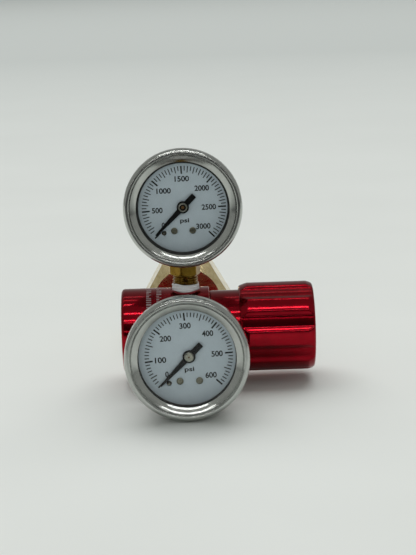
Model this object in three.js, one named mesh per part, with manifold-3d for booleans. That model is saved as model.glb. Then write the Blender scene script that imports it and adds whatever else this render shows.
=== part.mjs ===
// Carbon dioxide regulator for brewing: an anodised body with a screwed bonnet and a fluted adjusting
// knob, a tank inlet at the back, a supply gauge on top and an outlet gauge in front.
// Millimetres, +Z up. The body's axis runs along X and the front gauge faces -Y.
// Every piece is drawn from the point where the body's axis crosses the plane of its ports, and is
// moved at the end so that the origin is the centre of the bounding box's base.

import * as THREE from 'three';
import { mergeVertices } from 'three/addons/utils/BufferGeometryUtils.js';
import Module from 'manifold-3d';

const wasm = await Module();
wasm.setup();

// ---------------------------------------------------------------- driving dimensions

const gap = 0.3; // clearance between neighbouring pieces

// Body, along X
const bodyRadius = 15.4;
const bodyLeft = -23.6;
const bodyRight = 8.4;
const neckRadius = 11.5; // thread that carries the bonnet
const neckEnd = bodyRight + 5.5;

// Chambers inside the body
const plugBoreRadius = 7.3;
const plugBoreEnd = bodyLeft + 12.3;
const highChamberRadius = 5;
const highChamberEnd = 3.4;
const seatBoreRadius = 4;
const lowChamberStart = 7.4;
const pistonBoreRadius = 9.3;

// Ports, measured outward from the body's axis
const portFloor = 7.8;
const gaugePortRadius = 5.35;
const inletPortRadius = 6.9;
const outletPortRadius = 4.3;
const passageRadius = 0.8;

// Bonnet and knob, along X
const bonnetRadius = 13.8;
const bonnetShoulder = 22.4;
const bonnetEnd = 35.4;
const bonnetThreadRadius = 12.2;
const knobRadius = 16.4;
const knobFluteRadius = 15.5;
const knobStart = 19.3;
const knobEnd = 46.4;
const knobEndWall = 4;
const knobFlutes = 8;
const knobTurnOffset = THREE.MathUtils.degToRad(-5.8); // lowest front land, from -Y towards +Z

// Gauges. Depths run backward from the front of the bezel.
const bezelRadius = 21.25;
const bezelDepth = 6.6;
const sightRadius = 16.7;
const caseRadius = 19.5;
const caseWall = 0.8;
const caseDepth = 23.7;
const caseTaperStart = 13; // the cup narrows from here to its back
const caseBackRadius = 17.4;
const dialRadius = 17.9;
const dialFront = 7;
const frontMovementShift = 0.65; // the lower gauge's movement sits a little to the right in its case
const frontGaugeReach = 56; // body axis to the front of the lower gauge's bezel
const topGaugeHeight = 46.3; // body axis to the centre of the upper gauge
const topStemDepth = 17.2; // front of the upper bezel to its stem's axis

// Gauge stems, measured outward from the body's axis
const stemTip = 8.6;
const stemRadius = 4.5;
const stemHexStart = 20.4;
const topHexEnd = topGaugeHeight - bezelRadius - gap;
const frontHexEnd = stemHexStart + 6.4;
const stemNeckEnd = 30.8;
const stemHexFlats = 10;
const stemNeckRadius = 4.2;
const stemBoreRadius = 1.2;
const tapeRadius = 5.05;
const tapeStart = 13;
const tapeEnd = 17.1;

// Gauge movement
const sweep = 270;
const gearRatio = 6;
const pinionTeeth = 10;
const toothPitchRadius = 1.1;
const gearCentres = toothPitchRadius * (1 + gearRatio);
const arborAngle = THREE.MathUtils.degToRad(-40);

// Inlet, along +Y
const nippleRadius = 6.35;
const nippleHeadRadius = 9.4;
const nippleHeadStart = 66;
const nippleEnd = 71;
const filterRadius = 2.7;
const washerThickness = 2;
const nutStart = 57;
const nutLength = 25;
const nutFlats = 31.75;
const nutFaceRadius = 13.3;
const nutBoreRadius = 10.2;

// The origin: the centre of the bounding box's base
const overallBack = nutStart + nutLength;
const origin = new THREE.Vector3(
  (bodyLeft + knobEnd) / 2,
  (overallBack - frontGaugeReach) / 2,
  -bezelRadius,
);

// Facets round a full turn
const fine = 40;
const medium = 24;
const coarse = 12;
const small = 8;

// ---------------------------------------------------------------- finishes

const redAnodised = { color: 0x9c0f18, roughness: 0.3, metalness: 0.9 };
const polishedSteel = { color: 0xc4c6c4, roughness: 0.15, metalness: 1 };
const plainSteel = { color: 0xa8a9a8, roughness: 0.35, metalness: 1 };
const springSteel = { color: 0x8d9094, roughness: 0.4, metalness: 1 };
const brass = { color: 0xc8a45a, roughness: 0.3, metalness: 1 };
const bronze = { color: 0x9a6a3a, roughness: 0.7, metalness: 0.8 };
const clearGlass = { color: 0xf4fafa, roughness: 0.05, metalness: 0, transparent: true, opacity: 0.3 };
const whiteEnamel = { color: 0xe8ecee, roughness: 0.5, metalness: 0 };
const blackEnamel = { color: 0x141414, roughness: 0.4, metalness: 0 };
const blackRubber = { color: 0x1b1b1b, roughness: 0.8, metalness: 0 };
const whiteTape = { color: 0xf2f2f0, roughness: 0.8, metalness: 0 };
const whiteNylon = { color: 0xe9e6dc, roughness: 0.6, metalness: 0 };

// ---------------------------------------------------------------- solids

// Where a flat outline's own x, y and depth go for a plate that is extruded along each axis
const X = new THREE.Vector3(1, 0, 0);
const Y = new THREE.Vector3(0, 1, 0);
const Z = new THREE.Vector3(0, 0, 1);
const plateBasis = {
  x: new THREE.Matrix4().makeBasis(Y, Z, X),
  y: new THREE.Matrix4().makeBasis(X.clone().negate(), Z, Y),
  z: new THREE.Matrix4().makeBasis(X, Y, Z),
};
const turnBasis = {
  x: new THREE.Matrix4().makeRotationZ(-Math.PI / 2),
  y: new THREE.Matrix4(),
  z: new THREE.Matrix4().makeRotationX(Math.PI / 2),
};

// A closed solid from a three.js geometry, with its seams welded
function toSolid(geometry) {
  geometry.deleteAttribute('normal');
  geometry.deleteAttribute('uv');
  const welded = mergeVertices(geometry, 1e-5);
  const corners = welded.index.array;
  const triangles = [];
  for (let i = 0; i < corners.length; i += 3) {
    const [a, b, c] = corners.slice(i, i + 3);
    if (a !== b && b !== c && c !== a) {
      triangles.push(a, b, c);
    }
  }
  const mesh = new wasm.Mesh({
    numProp: 3,
    vertProperties: welded.attributes.position.array,
    triVerts: Uint32Array.from(triangles),
  });
  return new wasm.Manifold(mesh);
}

function toGeometry(solid) {
  const { vertProperties, triVerts } = solid.getMesh();
  const geometry = new THREE.BufferGeometry();
  geometry.setAttribute('position', new THREE.BufferAttribute(vertProperties, 3));
  geometry.setIndex(new THREE.BufferAttribute(triVerts, 1));
  geometry.computeVertexNormals();
  return geometry;
}

// A piece turned about an axis. The profile is [radius, position along the axis] pairs; it starts and
// ends on the axis, or is a ring's section and closes on itself.
function turned(axis, profile, facets = fine, at = [0, 0, 0]) {
  const section = profile.map(([radius, along]) => new THREE.Vector2(radius, along));
  if (THREE.ShapeUtils.area(section) < 0) {
    section.reverse();
  }
  if (section.some((point, i) => point.x > 0 && (i === 0 || i === section.length - 1))) {
    section.push(section[0].clone());
  }
  const geometry = new THREE.LatheGeometry(section, facets);
  geometry.applyMatrix4(turnBasis[axis]);
  geometry.translate(...at);
  return toSolid(geometry);
}

function rod(axis, radius, from, to, facets = coarse, at = [0, 0, 0]) {
  return turned(axis, [[0, from], [radius, from], [radius, to], [0, to]], facets, at);
}

function ring(axis, innerRadius, outerRadius, from, to, facets = fine, at = [0, 0, 0]) {
  const section = [[innerRadius, from], [outerRadius, from], [outerRadius, to], [innerRadius, to]];
  return turned(axis, section, facets, at);
}

// A flat outline extruded along an axis. Across X the outline is [y, z]; across Y it is [x, z] seen
// from the front; across Z it is [x, y].
function plate(axis, outline, from, to, at = [0, 0, 0]) {
  const side = axis === 'y' ? -1 : 1;
  const shape = new THREE.Shape(outline.map(([u, v]) => new THREE.Vector2(side * u, v)));
  const geometry = new THREE.ExtrudeGeometry(shape, { depth: to - from, bevelEnabled: false });
  geometry.translate(0, 0, from);
  geometry.applyMatrix4(plateBasis[axis]);
  geometry.translate(...at);
  return toSolid(geometry);
}

function block(size, centre) {
  const geometry = new THREE.BoxGeometry(...size);
  geometry.translate(...centre);
  return toSolid(geometry);
}

function polar(radius, angle) {
  return [radius * Math.cos(angle), radius * Math.sin(angle)];
}

// A regular hexagon by its width across flats; its first flat faces the given angle
function hexagon(flats, angle = 0) {
  const cornerRadius = flats / Math.sqrt(3);
  return Array.from({ length: 6 }, (_, i) => polar(cornerRadius, angle + ((i + 0.5) * Math.PI) / 3));
}

// A torus section for an O-ring
function oRing(axis, middleRadius, wireRadius, position) {
  const section = Array.from({ length: 6 }, (_, i) => {
    const [across, along] = polar(wireRadius, (i * Math.PI) / 3);
    return [middleRadius + across, position + along];
  });
  return turned(axis, section, medium);
}

class Helix extends THREE.Curve {
  constructor(radius, turns, from, to) {
    super();
    Object.assign(this, { radius, turns, from, to });
  }

  getPoint(t, target = new THREE.Vector3()) {
    const angle = t * this.turns * 2 * Math.PI;
    const along = this.from + t * (this.to - this.from);
    return target.set(along, this.radius * Math.cos(angle), this.radius * Math.sin(angle));
  }
}

// A compression spring of five turns along X between two faces
function coilSpring({ radius, wireRadius, from, to, stepsPerTurn }) {
  const turns = 5;
  const wireSides = 5;
  const path = new Helix(radius, turns, from + wireRadius, to - wireRadius);
  const wire = new THREE.Shape(Array.from({ length: wireSides }, (_, i) => {
    return new THREE.Vector2(...polar(wireRadius, (i * 2 * Math.PI) / wireSides));
  }));
  const steps = turns * stepsPerTurn;
  return toSolid(new THREE.ExtrudeGeometry(wire, { steps, extrudePath: path, bevelEnabled: false }));
}

// ---------------------------------------------------------------- assembly

const regulator = new THREE.Group();
regulator.name = 'carbon_dioxide_regulator';

function addPart(name, solid, finish, at = [0, 0, 0]) {
  const geometry = toGeometry(solid);
  geometry.translate(...at);
  geometry.translate(-origin.x, -origin.y, -origin.z);
  const mesh = new THREE.Mesh(geometry, new THREE.MeshStandardMaterial(finish));
  mesh.name = name;
  regulator.add(mesh);
}

// ---------------------------------------------------------------- body and valve

function regulatorBody() {
  const chamfer = 0.7;
  const outside = turned('x', [
    [0, bodyLeft],
    [bodyRadius - chamfer, bodyLeft],
    [bodyRadius, bodyLeft + chamfer],
    [bodyRadius, bodyRight - chamfer],
    [bodyRadius - chamfer, bodyRight],
    [neckRadius, bodyRight],
    [neckRadius, neckEnd],
    [0, neckEnd],
  ]);
  const past = 1;
  const outer = bodyRadius + past;
  const passageLevel = portFloor + passageRadius / 2;
  const cuts = [
    rod('x', plugBoreRadius, bodyLeft - past, plugBoreEnd, medium),
    rod('x', highChamberRadius, plugBoreEnd - past, highChamberEnd, medium),
    rod('x', seatBoreRadius, highChamberEnd - past, lowChamberStart + past, medium),
    rod('x', pistonBoreRadius, lowChamberStart, neckEnd + past, medium),
    // gauge ports in front and on top, inlet port behind, outlet port underneath
    rod('y', gaugePortRadius, -outer, -portFloor, medium),
    rod('z', gaugePortRadius, portFloor, outer, medium),
    rod('y', inletPortRadius, portFloor, outer, medium),
    rod('z', outletPortRadius, -outer, -portFloor, medium),
    // supply side: inlet and upper gauge open into the high chamber
    rod('y', 2, 0, portFloor + past),
    rod('z', passageRadius, 0, portFloor + past),
    // outlet side: front gauge and outlet open into the low chamber
    rod('x', passageRadius, 0, lowChamberStart + past, coarse, [0, -passageLevel, 0]),
    rod('x', passageRadius, 0, lowChamberStart + past, coarse, [0, 0, -passageLevel]),
  ];
  return cuts.reduce((solid, cut) => solid.subtract(cut), outside);
}

const plugRadius = plugBoreRadius - gap;
const plugFace = bodyLeft + 0.4;
const plugEnd = plugBoreEnd - gap;
const plugGroove = [plugEnd - 3.5, plugEnd - 1.8];
const plugKeyFlats = 6;
const poppetStemRadius = 1.6;

function endPlug() {
  const grooveRadius = 5.6;
  const outside = turned('x', [
    [0, plugFace],
    [plugRadius - 0.5, plugFace],
    [plugRadius, plugFace + 0.5],
    [plugRadius, plugGroove[0]],
    [grooveRadius, plugGroove[0]],
    [grooveRadius, plugGroove[1]],
    [plugRadius, plugGroove[1]],
    [plugRadius, plugEnd],
    [0, plugEnd],
  ], medium);
  const keySocket = plate('x', hexagon(plugKeyFlats), plugFace - 1, plugFace + 5);
  const poppetGuide = rod('x', poppetStemRadius + 0.4, plugEnd - 3, plugEnd + 1);
  return outside.subtract(keySocket).subtract(poppetGuide);
}

const sealFront = highChamberEnd + 1.3;
const poppetHeadStart = highChamberEnd - 3;
const poppetHeadEnd = highChamberEnd + 0.2;
const valveSeatRadius = 1.6;

function poppet() {
  const poppetHeadRadius = 3.4;
  return turned('x', [
    [0, plugEnd - 1.5],
    [poppetStemRadius, plugEnd - 1.5],
    [poppetStemRadius, poppetHeadStart],
    [poppetHeadRadius, poppetHeadStart],
    [poppetHeadRadius, poppetHeadEnd],
    [0, poppetHeadEnd],
  ], medium);
}

const pistonFace = lowChamberStart + 2;
const pistonBack = pistonFace + 4;
const pistonGroove = [pistonFace + 1.1, pistonFace + 2.9];
const springBossRadius = 5.2; // the range spring is centred on bosses on the piston and the seat

function piston() {
  const stem = 1.2;
  const headRadius = pistonBoreRadius - gap;
  const grooveRadius = 7.4;
  return turned('x', [
    [0, sealFront + gap],
    [stem, sealFront + gap],
    [stem, pistonFace],
    [headRadius, pistonFace],
    [headRadius, pistonGroove[0]],
    [grooveRadius, pistonGroove[0]],
    [grooveRadius, pistonGroove[1]],
    [headRadius, pistonGroove[1]],
    [headRadius, pistonBack],
    [springBossRadius, pistonBack],
    [springBossRadius - 0.5, pistonBack + 2],
    [0, pistonBack + 2],
  ], medium);
}

function bonnet() {
  const chamfer = 0.5;
  const neckClear = neckRadius + gap;
  const springClear = 10.5;
  return turned('x', [
    [neckClear, bodyRight + gap],
    [bonnetRadius - chamfer, bodyRight + gap],
    [bonnetRadius, bodyRight + gap + chamfer],
    [bonnetRadius, bonnetShoulder],
    [bonnetThreadRadius, bonnetShoulder],
    [bonnetThreadRadius, bonnetEnd - chamfer],
    [bonnetThreadRadius - chamfer, bonnetEnd],
    [springClear, bonnetEnd],
    [springClear, neckEnd + 0.5],
    [neckClear, neckEnd + 0.5],
  ]);
}

const knobCeiling = knobEnd - knobEndWall;
const seatDisc = [knobCeiling - 4, knobCeiling - 1.5];

function springSeat() {
  const discRadius = 9.6;
  const tipRadius = 2;
  return turned('x', [
    [0, seatDisc[0] - 2],
    [springBossRadius - 0.5, seatDisc[0] - 2],
    [springBossRadius, seatDisc[0]],
    [discRadius, seatDisc[0]],
    [discRadius, seatDisc[1]],
    [tipRadius + 1, seatDisc[1]],
    [tipRadius, knobCeiling - gap],
    [0, knobCeiling - gap],
  ], medium);
}

function adjustingKnob() {
  // one land and one flute: [angle from the land's middle, radius]
  const land = [-9, -3, 3, 9].map((angle) => [angle, knobRadius]);
  const flute = [14, 22.5, 31].map((angle) => [angle, knobFluteRadius]);
  const outline = [];
  for (let i = 0; i < knobFlutes; i += 1) {
    for (const [angle, radius] of [...land, ...flute]) {
      const turn = (i / knobFlutes) * 2 * Math.PI + THREE.MathUtils.degToRad(angle);
      outline.push(polar(radius, Math.PI - knobTurnOffset + turn));
    }
  }
  const bar = plate('x', outline, knobStart, knobEnd);
  // the ends are coned off
  const leftFace = knobRadius - 1.1;
  const rightFace = knobRadius - 0.9;
  const slack = 0.2;
  const envelope = turned('x', [
    [0, knobStart],
    [leftFace, knobStart],
    [knobRadius + slack, knobStart + 3.6],
    [knobRadius + slack, knobEnd - 3],
    [rightFace, knobEnd],
    [0, knobEnd],
  ]);
  const skirt = rod('x', bonnetRadius + gap, knobStart - 1, bonnetShoulder + 10, fine);
  const threadBore = rod('x', bonnetThreadRadius + gap, bonnetShoulder, knobCeiling, fine);
  return bar.intersect(envelope).subtract(skirt).subtract(threadBore);
}

function middle([from, to]) {
  return (from + to) / 2;
}

function poppetSpring() {
  return coilSpring({
    radius: 2.9,
    wireRadius: 0.35,
    from: plugEnd + gap,
    to: poppetHeadStart - gap,
    stepsPerTurn: 9,
  });
}

function rangeSpring() {
  return coilSpring({
    radius: 7.3,
    wireRadius: 1.1,
    from: pistonBack + gap,
    to: seatDisc[0] - gap,
    stepsPerTurn: 12,
  });
}

function valveSeat() {
  const outerRadius = seatBoreRadius - gap;
  return ring('x', valveSeatRadius, outerRadius, sealFront + gap, lowChamberStart - gap, medium);
}

function addBodyParts() {
  addPart('regulator_body', regulatorBody(), redAnodised);
  addPart('end_plug', endPlug(), plainSteel);
  addPart('end_plug_oring', oRing('x', 6.33, 0.6, middle(plugGroove)), blackRubber);
  addPart('poppet_spring', poppetSpring(), springSteel);
  addPart('poppet', poppet(), brass);
  addPart('poppet_seal', rod('x', 2.8, poppetHeadEnd + gap, sealFront, medium), whiteNylon);
  addPart('valve_seat', valveSeat(), brass);
  addPart('piston', piston(), plainSteel);
  addPart('piston_oring', oRing('x', 8.3, 0.65, middle(pistonGroove)), blackRubber);
  addPart('range_spring', rangeSpring(), springSteel);
  addPart('spring_seat', springSeat(), brass);
  addPart('bonnet', bonnet(), redAnodised);
  addPart('adjusting_knob', adjustingKnob(), redAnodised);
}

// ---------------------------------------------------------------- inlet

function inletNipple() {
  const outside = turned('y', [
    [0, portFloor + 1],
    [inletPortRadius - gap - 0.4, portFloor + 1],
    [inletPortRadius - gap, portFloor + 2],
    [inletPortRadius - gap, bodyRadius + 3],
    [nippleRadius, bodyRadius + 3.5],
    [nippleRadius, nippleHeadStart - 1],
    [nippleHeadRadius, nippleHeadStart],
    [nippleHeadRadius, nippleEnd - 0.5],
    [nippleHeadRadius - 0.5, nippleEnd],
    [0, nippleEnd],
  ], medium);
  const bore = rod('y', 2, 0, nippleEnd + 1);
  const filterPocket = rod('y', filterRadius + gap, nippleHeadStart - gap, nippleEnd + 1, medium);
  return outside.subtract(bore).subtract(filterPocket);
}

function inletNut() {
  const end = nutStart + nutLength;
  const cornerRadius = nutFlats / Math.sqrt(3);
  const slope = Math.tan(Math.PI / 6);
  const coneLength = (cornerRadius - nutFaceRadius) * slope;
  const envelope = turned('y', [
    [0, nutStart],
    [nutFaceRadius, nutStart],
    [cornerRadius, nutStart + coneLength],
    [cornerRadius, end - coneLength / 2],
    [(cornerRadius + nutFaceRadius) / 2, end],
    [0, end],
  ]);
  const bar = plate('y', hexagon(nutFlats, Math.PI / 2), nutStart, end);
  const backHole = rod('y', nippleRadius + 2 * gap, nutStart - 1, end, medium);
  const shoulder = nippleHeadStart - 1 - 2 * gap;
  const threadBore = turned('y', [
    [0, shoulder],
    [nutBoreRadius, shoulder],
    [nutBoreRadius, end - 1],
    [nutBoreRadius + 2, end + 1],
    [0, end + 1],
  ], medium);
  return bar.intersect(envelope).subtract(backHole).subtract(threadBore);
}

function addInletParts() {
  const washer = [nippleEnd + gap, nippleEnd + gap + washerThickness];
  addPart('inlet_nipple', inletNipple(), brass);
  addPart('inlet_filter', rod('y', filterRadius, nippleHeadStart, nippleEnd - 0.5, medium), bronze);
  addPart('inlet_washer', ring('y', 4.2, 9.2, ...washer, medium), whiteNylon);
  addPart('inlet_nut', inletNut(), brass);
}

// ---------------------------------------------------------------- gauge stems

// The threaded stem with its hexagon, pointing outward from the body along +Z
function stem(hexEnd, hexAngle) {
  const shank = turned('z', [
    [0, stemTip],
    [stemRadius - 0.6, stemTip],
    [stemRadius, stemTip + 0.8],
    [stemRadius, stemHexStart - 0.6],
    [stemNeckRadius, stemHexStart],
    [stemNeckRadius, stemNeckEnd],
    [0, stemNeckEnd],
  ], medium);
  const hex = plate('z', hexagon(stemHexFlats, hexAngle), stemHexStart, hexEnd);
  return shank.add(hex);
}

function alongMinusY(solid) {
  const geometry = toGeometry(solid);
  geometry.rotateX(Math.PI / 2);
  return toSolid(geometry);
}

// Pieces below are drawn in a gauge's own frame: the centre of the bezel's front, depth along +Y.

// The block that holds the Bourdon tube's root
const rootTop = -10;
const rootBottom = -16.1;
const rootWidth = 7;
const topRootDepth = [9.2, 21.2];
const frontRootDepth = [13, 20.5];
const armFront = 16.5; // the front gauge's block reaches up to its stem by an arm
const topHexAngle = THREE.MathUtils.degToRad(-77);

// A block as wide as the tube's root, between two depths and two heights
function rootBlock(front, back, bottom, top) {
  const size = [rootWidth, back - front, top - bottom];
  return block(size, [0, (front + back) / 2, (bottom + top) / 2]);
}

function topSocket() {
  const root = rootBlock(...topRootDepth, rootBottom, rootTop);
  const geometry = toGeometry(stem(topHexEnd, topHexAngle));
  geometry.translate(0, topStemDepth, -topGaugeHeight);
  const boreStart = stemTip - topGaugeHeight - 1;
  const bore = rod('z', stemBoreRadius, boreStart, rootTop - 2, coarse, [0, topStemDepth, 0]);
  return toSolid(geometry).add(root).subtract(bore);
}

function frontSocket() {
  const arm = rootBlock(armFront, frontRootDepth[1], rootBottom, stemNeckRadius);
  const root = rootBlock(...frontRootDepth, rootBottom, rootTop);
  const geometry = toGeometry(alongMinusY(stem(frontHexEnd, 0)));
  geometry.translate(0, frontGaugeReach, 0);
  const neckBack = frontGaugeReach - stemNeckEnd + 0.7;
  const neck = rod('y', stemNeckRadius, armFront + 1, neckBack, medium);
  const bore = rod('y', stemBoreRadius, armFront + 2, frontGaugeReach, coarse);
  return toSolid(geometry).add(neck).add(arm).add(root).subtract(bore);
}

// ---------------------------------------------------------------- gauge

function bezel() {
  const lipBack = 2.7;
  return turned('y', [
    [sightRadius, lipBack],
    [sightRadius, 2.3],
    [18.8, 0.9],
    [19.2, 0.3],
    [19.9, 0],
    [20.6, 0.25],
    [21.05, 1],
    [bezelRadius, 2.4],
    [bezelRadius, bezelDepth - 0.6],
    [bezelRadius - 0.5, bezelDepth],
    [caseRadius + gap, bezelDepth],
    [caseRadius + gap, lipBack],
  ]);
}

function gaugeCase(hasBackHole) {
  const rim = 5.8;
  const inner = caseRadius - caseWall;
  const innerBack = caseBackRadius - caseWall;
  const floorDepth = caseDepth - caseWall;
  const holeRadius = hasBackHole ? stemNeckRadius + gap : 0;
  const cup = turned('y', [
    [holeRadius, caseDepth],
    [caseBackRadius - 1.2, caseDepth],
    [caseBackRadius, caseDepth - 1.2],
    [caseRadius, caseTaperStart],
    [caseRadius, rim],
    [inner, rim],
    [inner, caseTaperStart],
    [innerBack, floorDepth - 0.8],
    [innerBack - 0.8, floorDepth],
    [holeRadius, floorDepth],
  ], fine);
  if (hasBackHole) {
    return cup;
  }
  const hole = [-caseRadius - 1, -caseRadius + 5];
  const sideHole = rod('z', stemNeckRadius + gap, ...hole, medium, [0, topStemDepth, 0]);
  return cup.subtract(sideHole);
}

// The pointer's rest angle, lower left, and the things that stand beside it: [x, z] from the centre
const zeroAngle = THREE.MathUtils.degToRad(225);
const screwPlaces = [[-3.3, -8.5], [3.3, -8.5]];
const stopPlace = [-7, -9.2];

function dial() {
  const disc = rod('y', dialRadius, dialFront, dialFront + 0.5, fine);
  const holes = [[0, 0], ...screwPlaces, stopPlace];
  return holes.reduce((solid, [x, z]) => {
    return solid.subtract(rod('y', 0.9, dialFront - 1, dialFront + 2, small, [x, 0, z]));
  }, disc);
}

function dialScrew([x, z]) {
  const head = [dialFront - 0.8, dialFront - 0.25];
  return turned('y', [
    [0, head[0]],
    [1, head[0]],
    [1.2, head[0] + 0.2],
    [1.2, head[1]],
    [0.6, head[1]],
    [0.6, dialFront + 1.9],
    [0, dialFront + 1.9],
  ], coarse, [x, 0, z]);
}

function stopPin() {
  const [x, z] = stopPlace;
  return rod('y', 0.45, dialFront - 1.4, dialFront + 1.9, coarse, [x, 0, z]);
}

function pointer() {
  const blade = [dialFront - 1.25, dialFront - 0.85];
  const along = ([distance, across]) => {
    const [x, z] = polar(distance, zeroAngle);
    const [dx, dz] = polar(across, zeroAngle + Math.PI / 2);
    return [x + dx, z + dz];
  };
  const edges = [[-5.9, -1], [0, -1.1], [14, -0.3], [14.1, 0], [14, 0.3], [0, 1.1], [-5.9, 1]];
  const outline = edges.map(along);
  const disc = rod('y', 2.2, dialFront - 1.4, dialFront - 0.6, 20);
  const hole = rod('y', 0.9, 0, dialFront + 1, small);
  return plate('y', outline, ...blade).add(disc).subtract(hole);
}

// One tooth round a gear's rim: [share of the tooth's pitch, height above the pitch circle]
const toothShape = [[-0.21, -0.24], [-0.1, 0.17], [0.1, 0.17], [0.21, -0.24]];

function toothedArc(pitchRadius, teeth, firstTooth, lastTooth, phase) {
  const pitch = (2 * Math.PI) / teeth;
  const outline = [];
  for (let i = firstTooth; i <= lastTooth; i += 1) {
    for (const [share, height] of toothShape) {
      outline.push(polar(pitchRadius + height, phase + (i + share) * pitch));
    }
  }
  return outline;
}

const gearDepth = [dialFront + 4.4, dialFront + 5];

function pinionStaff() {
  // a tooth gap faces the sector
  const phase = arborAngle + Math.PI / pinionTeeth;
  const outline = toothedArc(toothPitchRadius, pinionTeeth, 0, pinionTeeth - 1, phase);
  const pinion = plate('y', outline, gearDepth[0] - gap, gearDepth[1] + gap);
  const shaft = rod('y', 0.6, dialFront - 2, dialFront + 7.5, small);
  const bush = turned('y', [
    [0, dialFront - 2.3],
    [0.9, dialFront - 2.3],
    [1.6, dialFront - 2],
    [1.6, dialFront - 1.7],
    [0, dialFront - 1.7],
  ], coarse);
  return pinion.add(shaft).add(bush);
}

const arborPlace = polar(gearCentres, arborAngle);
const tailLength = 3.2;

function sectorGear() {
  const [x, z] = arborPlace;
  const teeth = pinionTeeth * gearRatio;
  const sectorSweep = THREE.MathUtils.degToRad(sweep / gearRatio);
  const pitch = (2 * Math.PI) / teeth;
  const spare = 1;
  const towardPinion = arborAngle + Math.PI;
  const first = -Math.ceil(sectorSweep / pitch) - spare;
  const arc = toothedArc(toothPitchRadius * gearRatio, teeth, first, spare, towardPinion);
  const place = ([u, v]) => [x + u, z + v];
  const webRoot = [polar(1.3, towardPinion + 1), polar(1.3, towardPinion - 1.8)];
  const web = plate('y', [...arc, ...webRoot].map(place), ...gearDepth);
  const hub = rod('y', 1.5, ...gearDepth, coarse, [x, 0, z]);
  const [tailX, tailZ] = polar(tailLength, arborAngle);
  const side = arborAngle + Math.PI / 2;
  const [sideX, sideZ] = polar(1, side);
  const tailOutline = [
    [sideX, sideZ],
    [-sideX, -sideZ],
    [tailX - sideX, tailZ - sideZ],
    [tailX + sideX, tailZ + sideZ],
  ];
  const tail = plate('y', tailOutline.map(place), ...gearDepth);
  const eye = rod('y', 1, ...gearDepth, coarse, [x + tailX, 0, z + tailZ]);
  const pin = rod('y', 0.5, gearDepth[0], gearDepth[1] + 1.1, small, [x + tailX, 0, z + tailZ]);
  const arbor = rod('y', 0.6, dialFront + 2.5, dialFront + 7.5, small, [x, 0, z]);
  return [hub, tail, eye, pin, arbor].reduce((solid, piece) => solid.add(piece), web);
}

const tubeRadius = 13.6;
const tubeTipAngle = THREE.MathUtils.degToRad(-3);
const tubeRootAngle = THREE.MathUtils.degToRad(249);

function link() {
  const depth = [gearDepth[1] + gap, gearDepth[1] + gap + 0.5];
  const lower = polar(gearCentres + tailLength, arborAngle);
  const upper = polar(tubeRadius, tubeTipAngle);
  const direction = Math.atan2(upper[1] - lower[1], upper[0] - lower[0]);
  const [dx, dz] = polar(0.6, direction + Math.PI / 2);
  const bar = plate('y', [
    [lower[0] + dx, lower[1] + dz],
    [lower[0] - dx, lower[1] - dz],
    [upper[0] - dx, upper[1] - dz],
    [upper[0] + dx, upper[1] + dz],
  ], ...depth);
  const ends = [lower, upper];
  const withEyes = ends.reduce((solid, [x, z]) => {
    return solid.add(rod('y', 1.2, ...depth, coarse, [x, 0, z]));
  }, bar);
  return ends.reduce((solid, [x, z]) => {
    return solid.subtract(rod('y', 0.8, depth[0] - 1, depth[1] + 1, small, [x, 0, z]));
  }, withEyes);
}

function bourdonTube() {
  const depth = [gearDepth[1] + 1.4, gearDepth[1] + 6.4];
  const flat = [tubeRadius - 0.9, tubeRadius + 0.9];
  const round = 0.8;
  const tube = turned('y', [
    [flat[0], depth[0] + round],
    [tubeRadius, depth[0]],
    [flat[1], depth[0] + round],
    [flat[1], depth[1] - round],
    [tubeRadius, depth[1]],
    [flat[0], depth[1] - round],
  ], 40);
  const opening = 2 * Math.PI + tubeTipAngle - tubeRootAngle;
  const corners = [0, 1, 2, 3].map((i) => polar(2 * tubeRadius, tubeRootAngle + (i / 3) * opening));
  const wedge = plate('y', [[0, 0], ...corners], depth[0] - 1, depth[1] + 1);
  return tube.subtract(wedge);
}

function movementFrame() {
  const front = [dialFront + 2.2, dialFront + 3];
  const back = [dialFront + 7, dialFront + 7.8];
  const outline = [[-6.3, -9.5], [2, -9.5], [9, -7], [9, 5.3], [-6.3, 5.3]];
  const posts = [[-5, 0], [7.5, 4], [-1.5, -8.4]];
  const plates = plate('y', outline, ...front).add(plate('y', outline, ...back));
  const joined = posts.reduce((solid, [x, z]) => {
    return solid.add(rod('y', 0.9, front[0], back[1], small, [x, 0, z]));
  }, plates);
  return [[0, 0], arborPlace].reduce((solid, [x, z]) => {
    return solid.subtract(rod('y', 0.9, front[0] - 1, back[1] + 1, small, [x, 0, z]));
  }, joined);
}

// The movement's pieces turn about their own centre, which may be shifted along X in the case
function addGauge(name, centre, shift, socket, hasBackHole) {
  const add = (piece, solid, finish) => addPart(`${name}_${piece}`, solid, finish, centre);
  add('socket', socket, brass);
  add('case', gaugeCase(hasBackHole), plainSteel);
  add('bezel', bezel(), polishedSteel);
  add('window', rod('y', caseRadius - gap, 3, 4.4, fine), clearGlass);
  add('gasket', ring('y', sightRadius - 0.2, caseRadius - gap, 4.7, 5.5), blackRubber);

  const [x, y, z] = centre;
  const addShifted = (piece, solid, finish) => {
    addPart(`${name}_${piece}`, solid, finish, [x + shift, y, z]);
  };
  addShifted('dial', dial(), whiteEnamel);
  addShifted('dial_screw_left', dialScrew(screwPlaces[0]), plainSteel);
  addShifted('dial_screw_right', dialScrew(screwPlaces[1]), plainSteel);
  addShifted('stop_pin', stopPin(), plainSteel);
  addShifted('pointer', pointer(), blackEnamel);
  addShifted('pinion_staff', pinionStaff(), brass);
  addShifted('movement_frame', movementFrame(), brass);
  addShifted('sector_gear', sectorGear(), brass);
  addShifted('link', link(), brass);
  addShifted('bourdon_tube', bourdonTube(), bronze);
}

function tape() {
  return ring('z', stemRadius + gap, tapeRadius, tapeStart, tapeEnd, medium);
}

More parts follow.
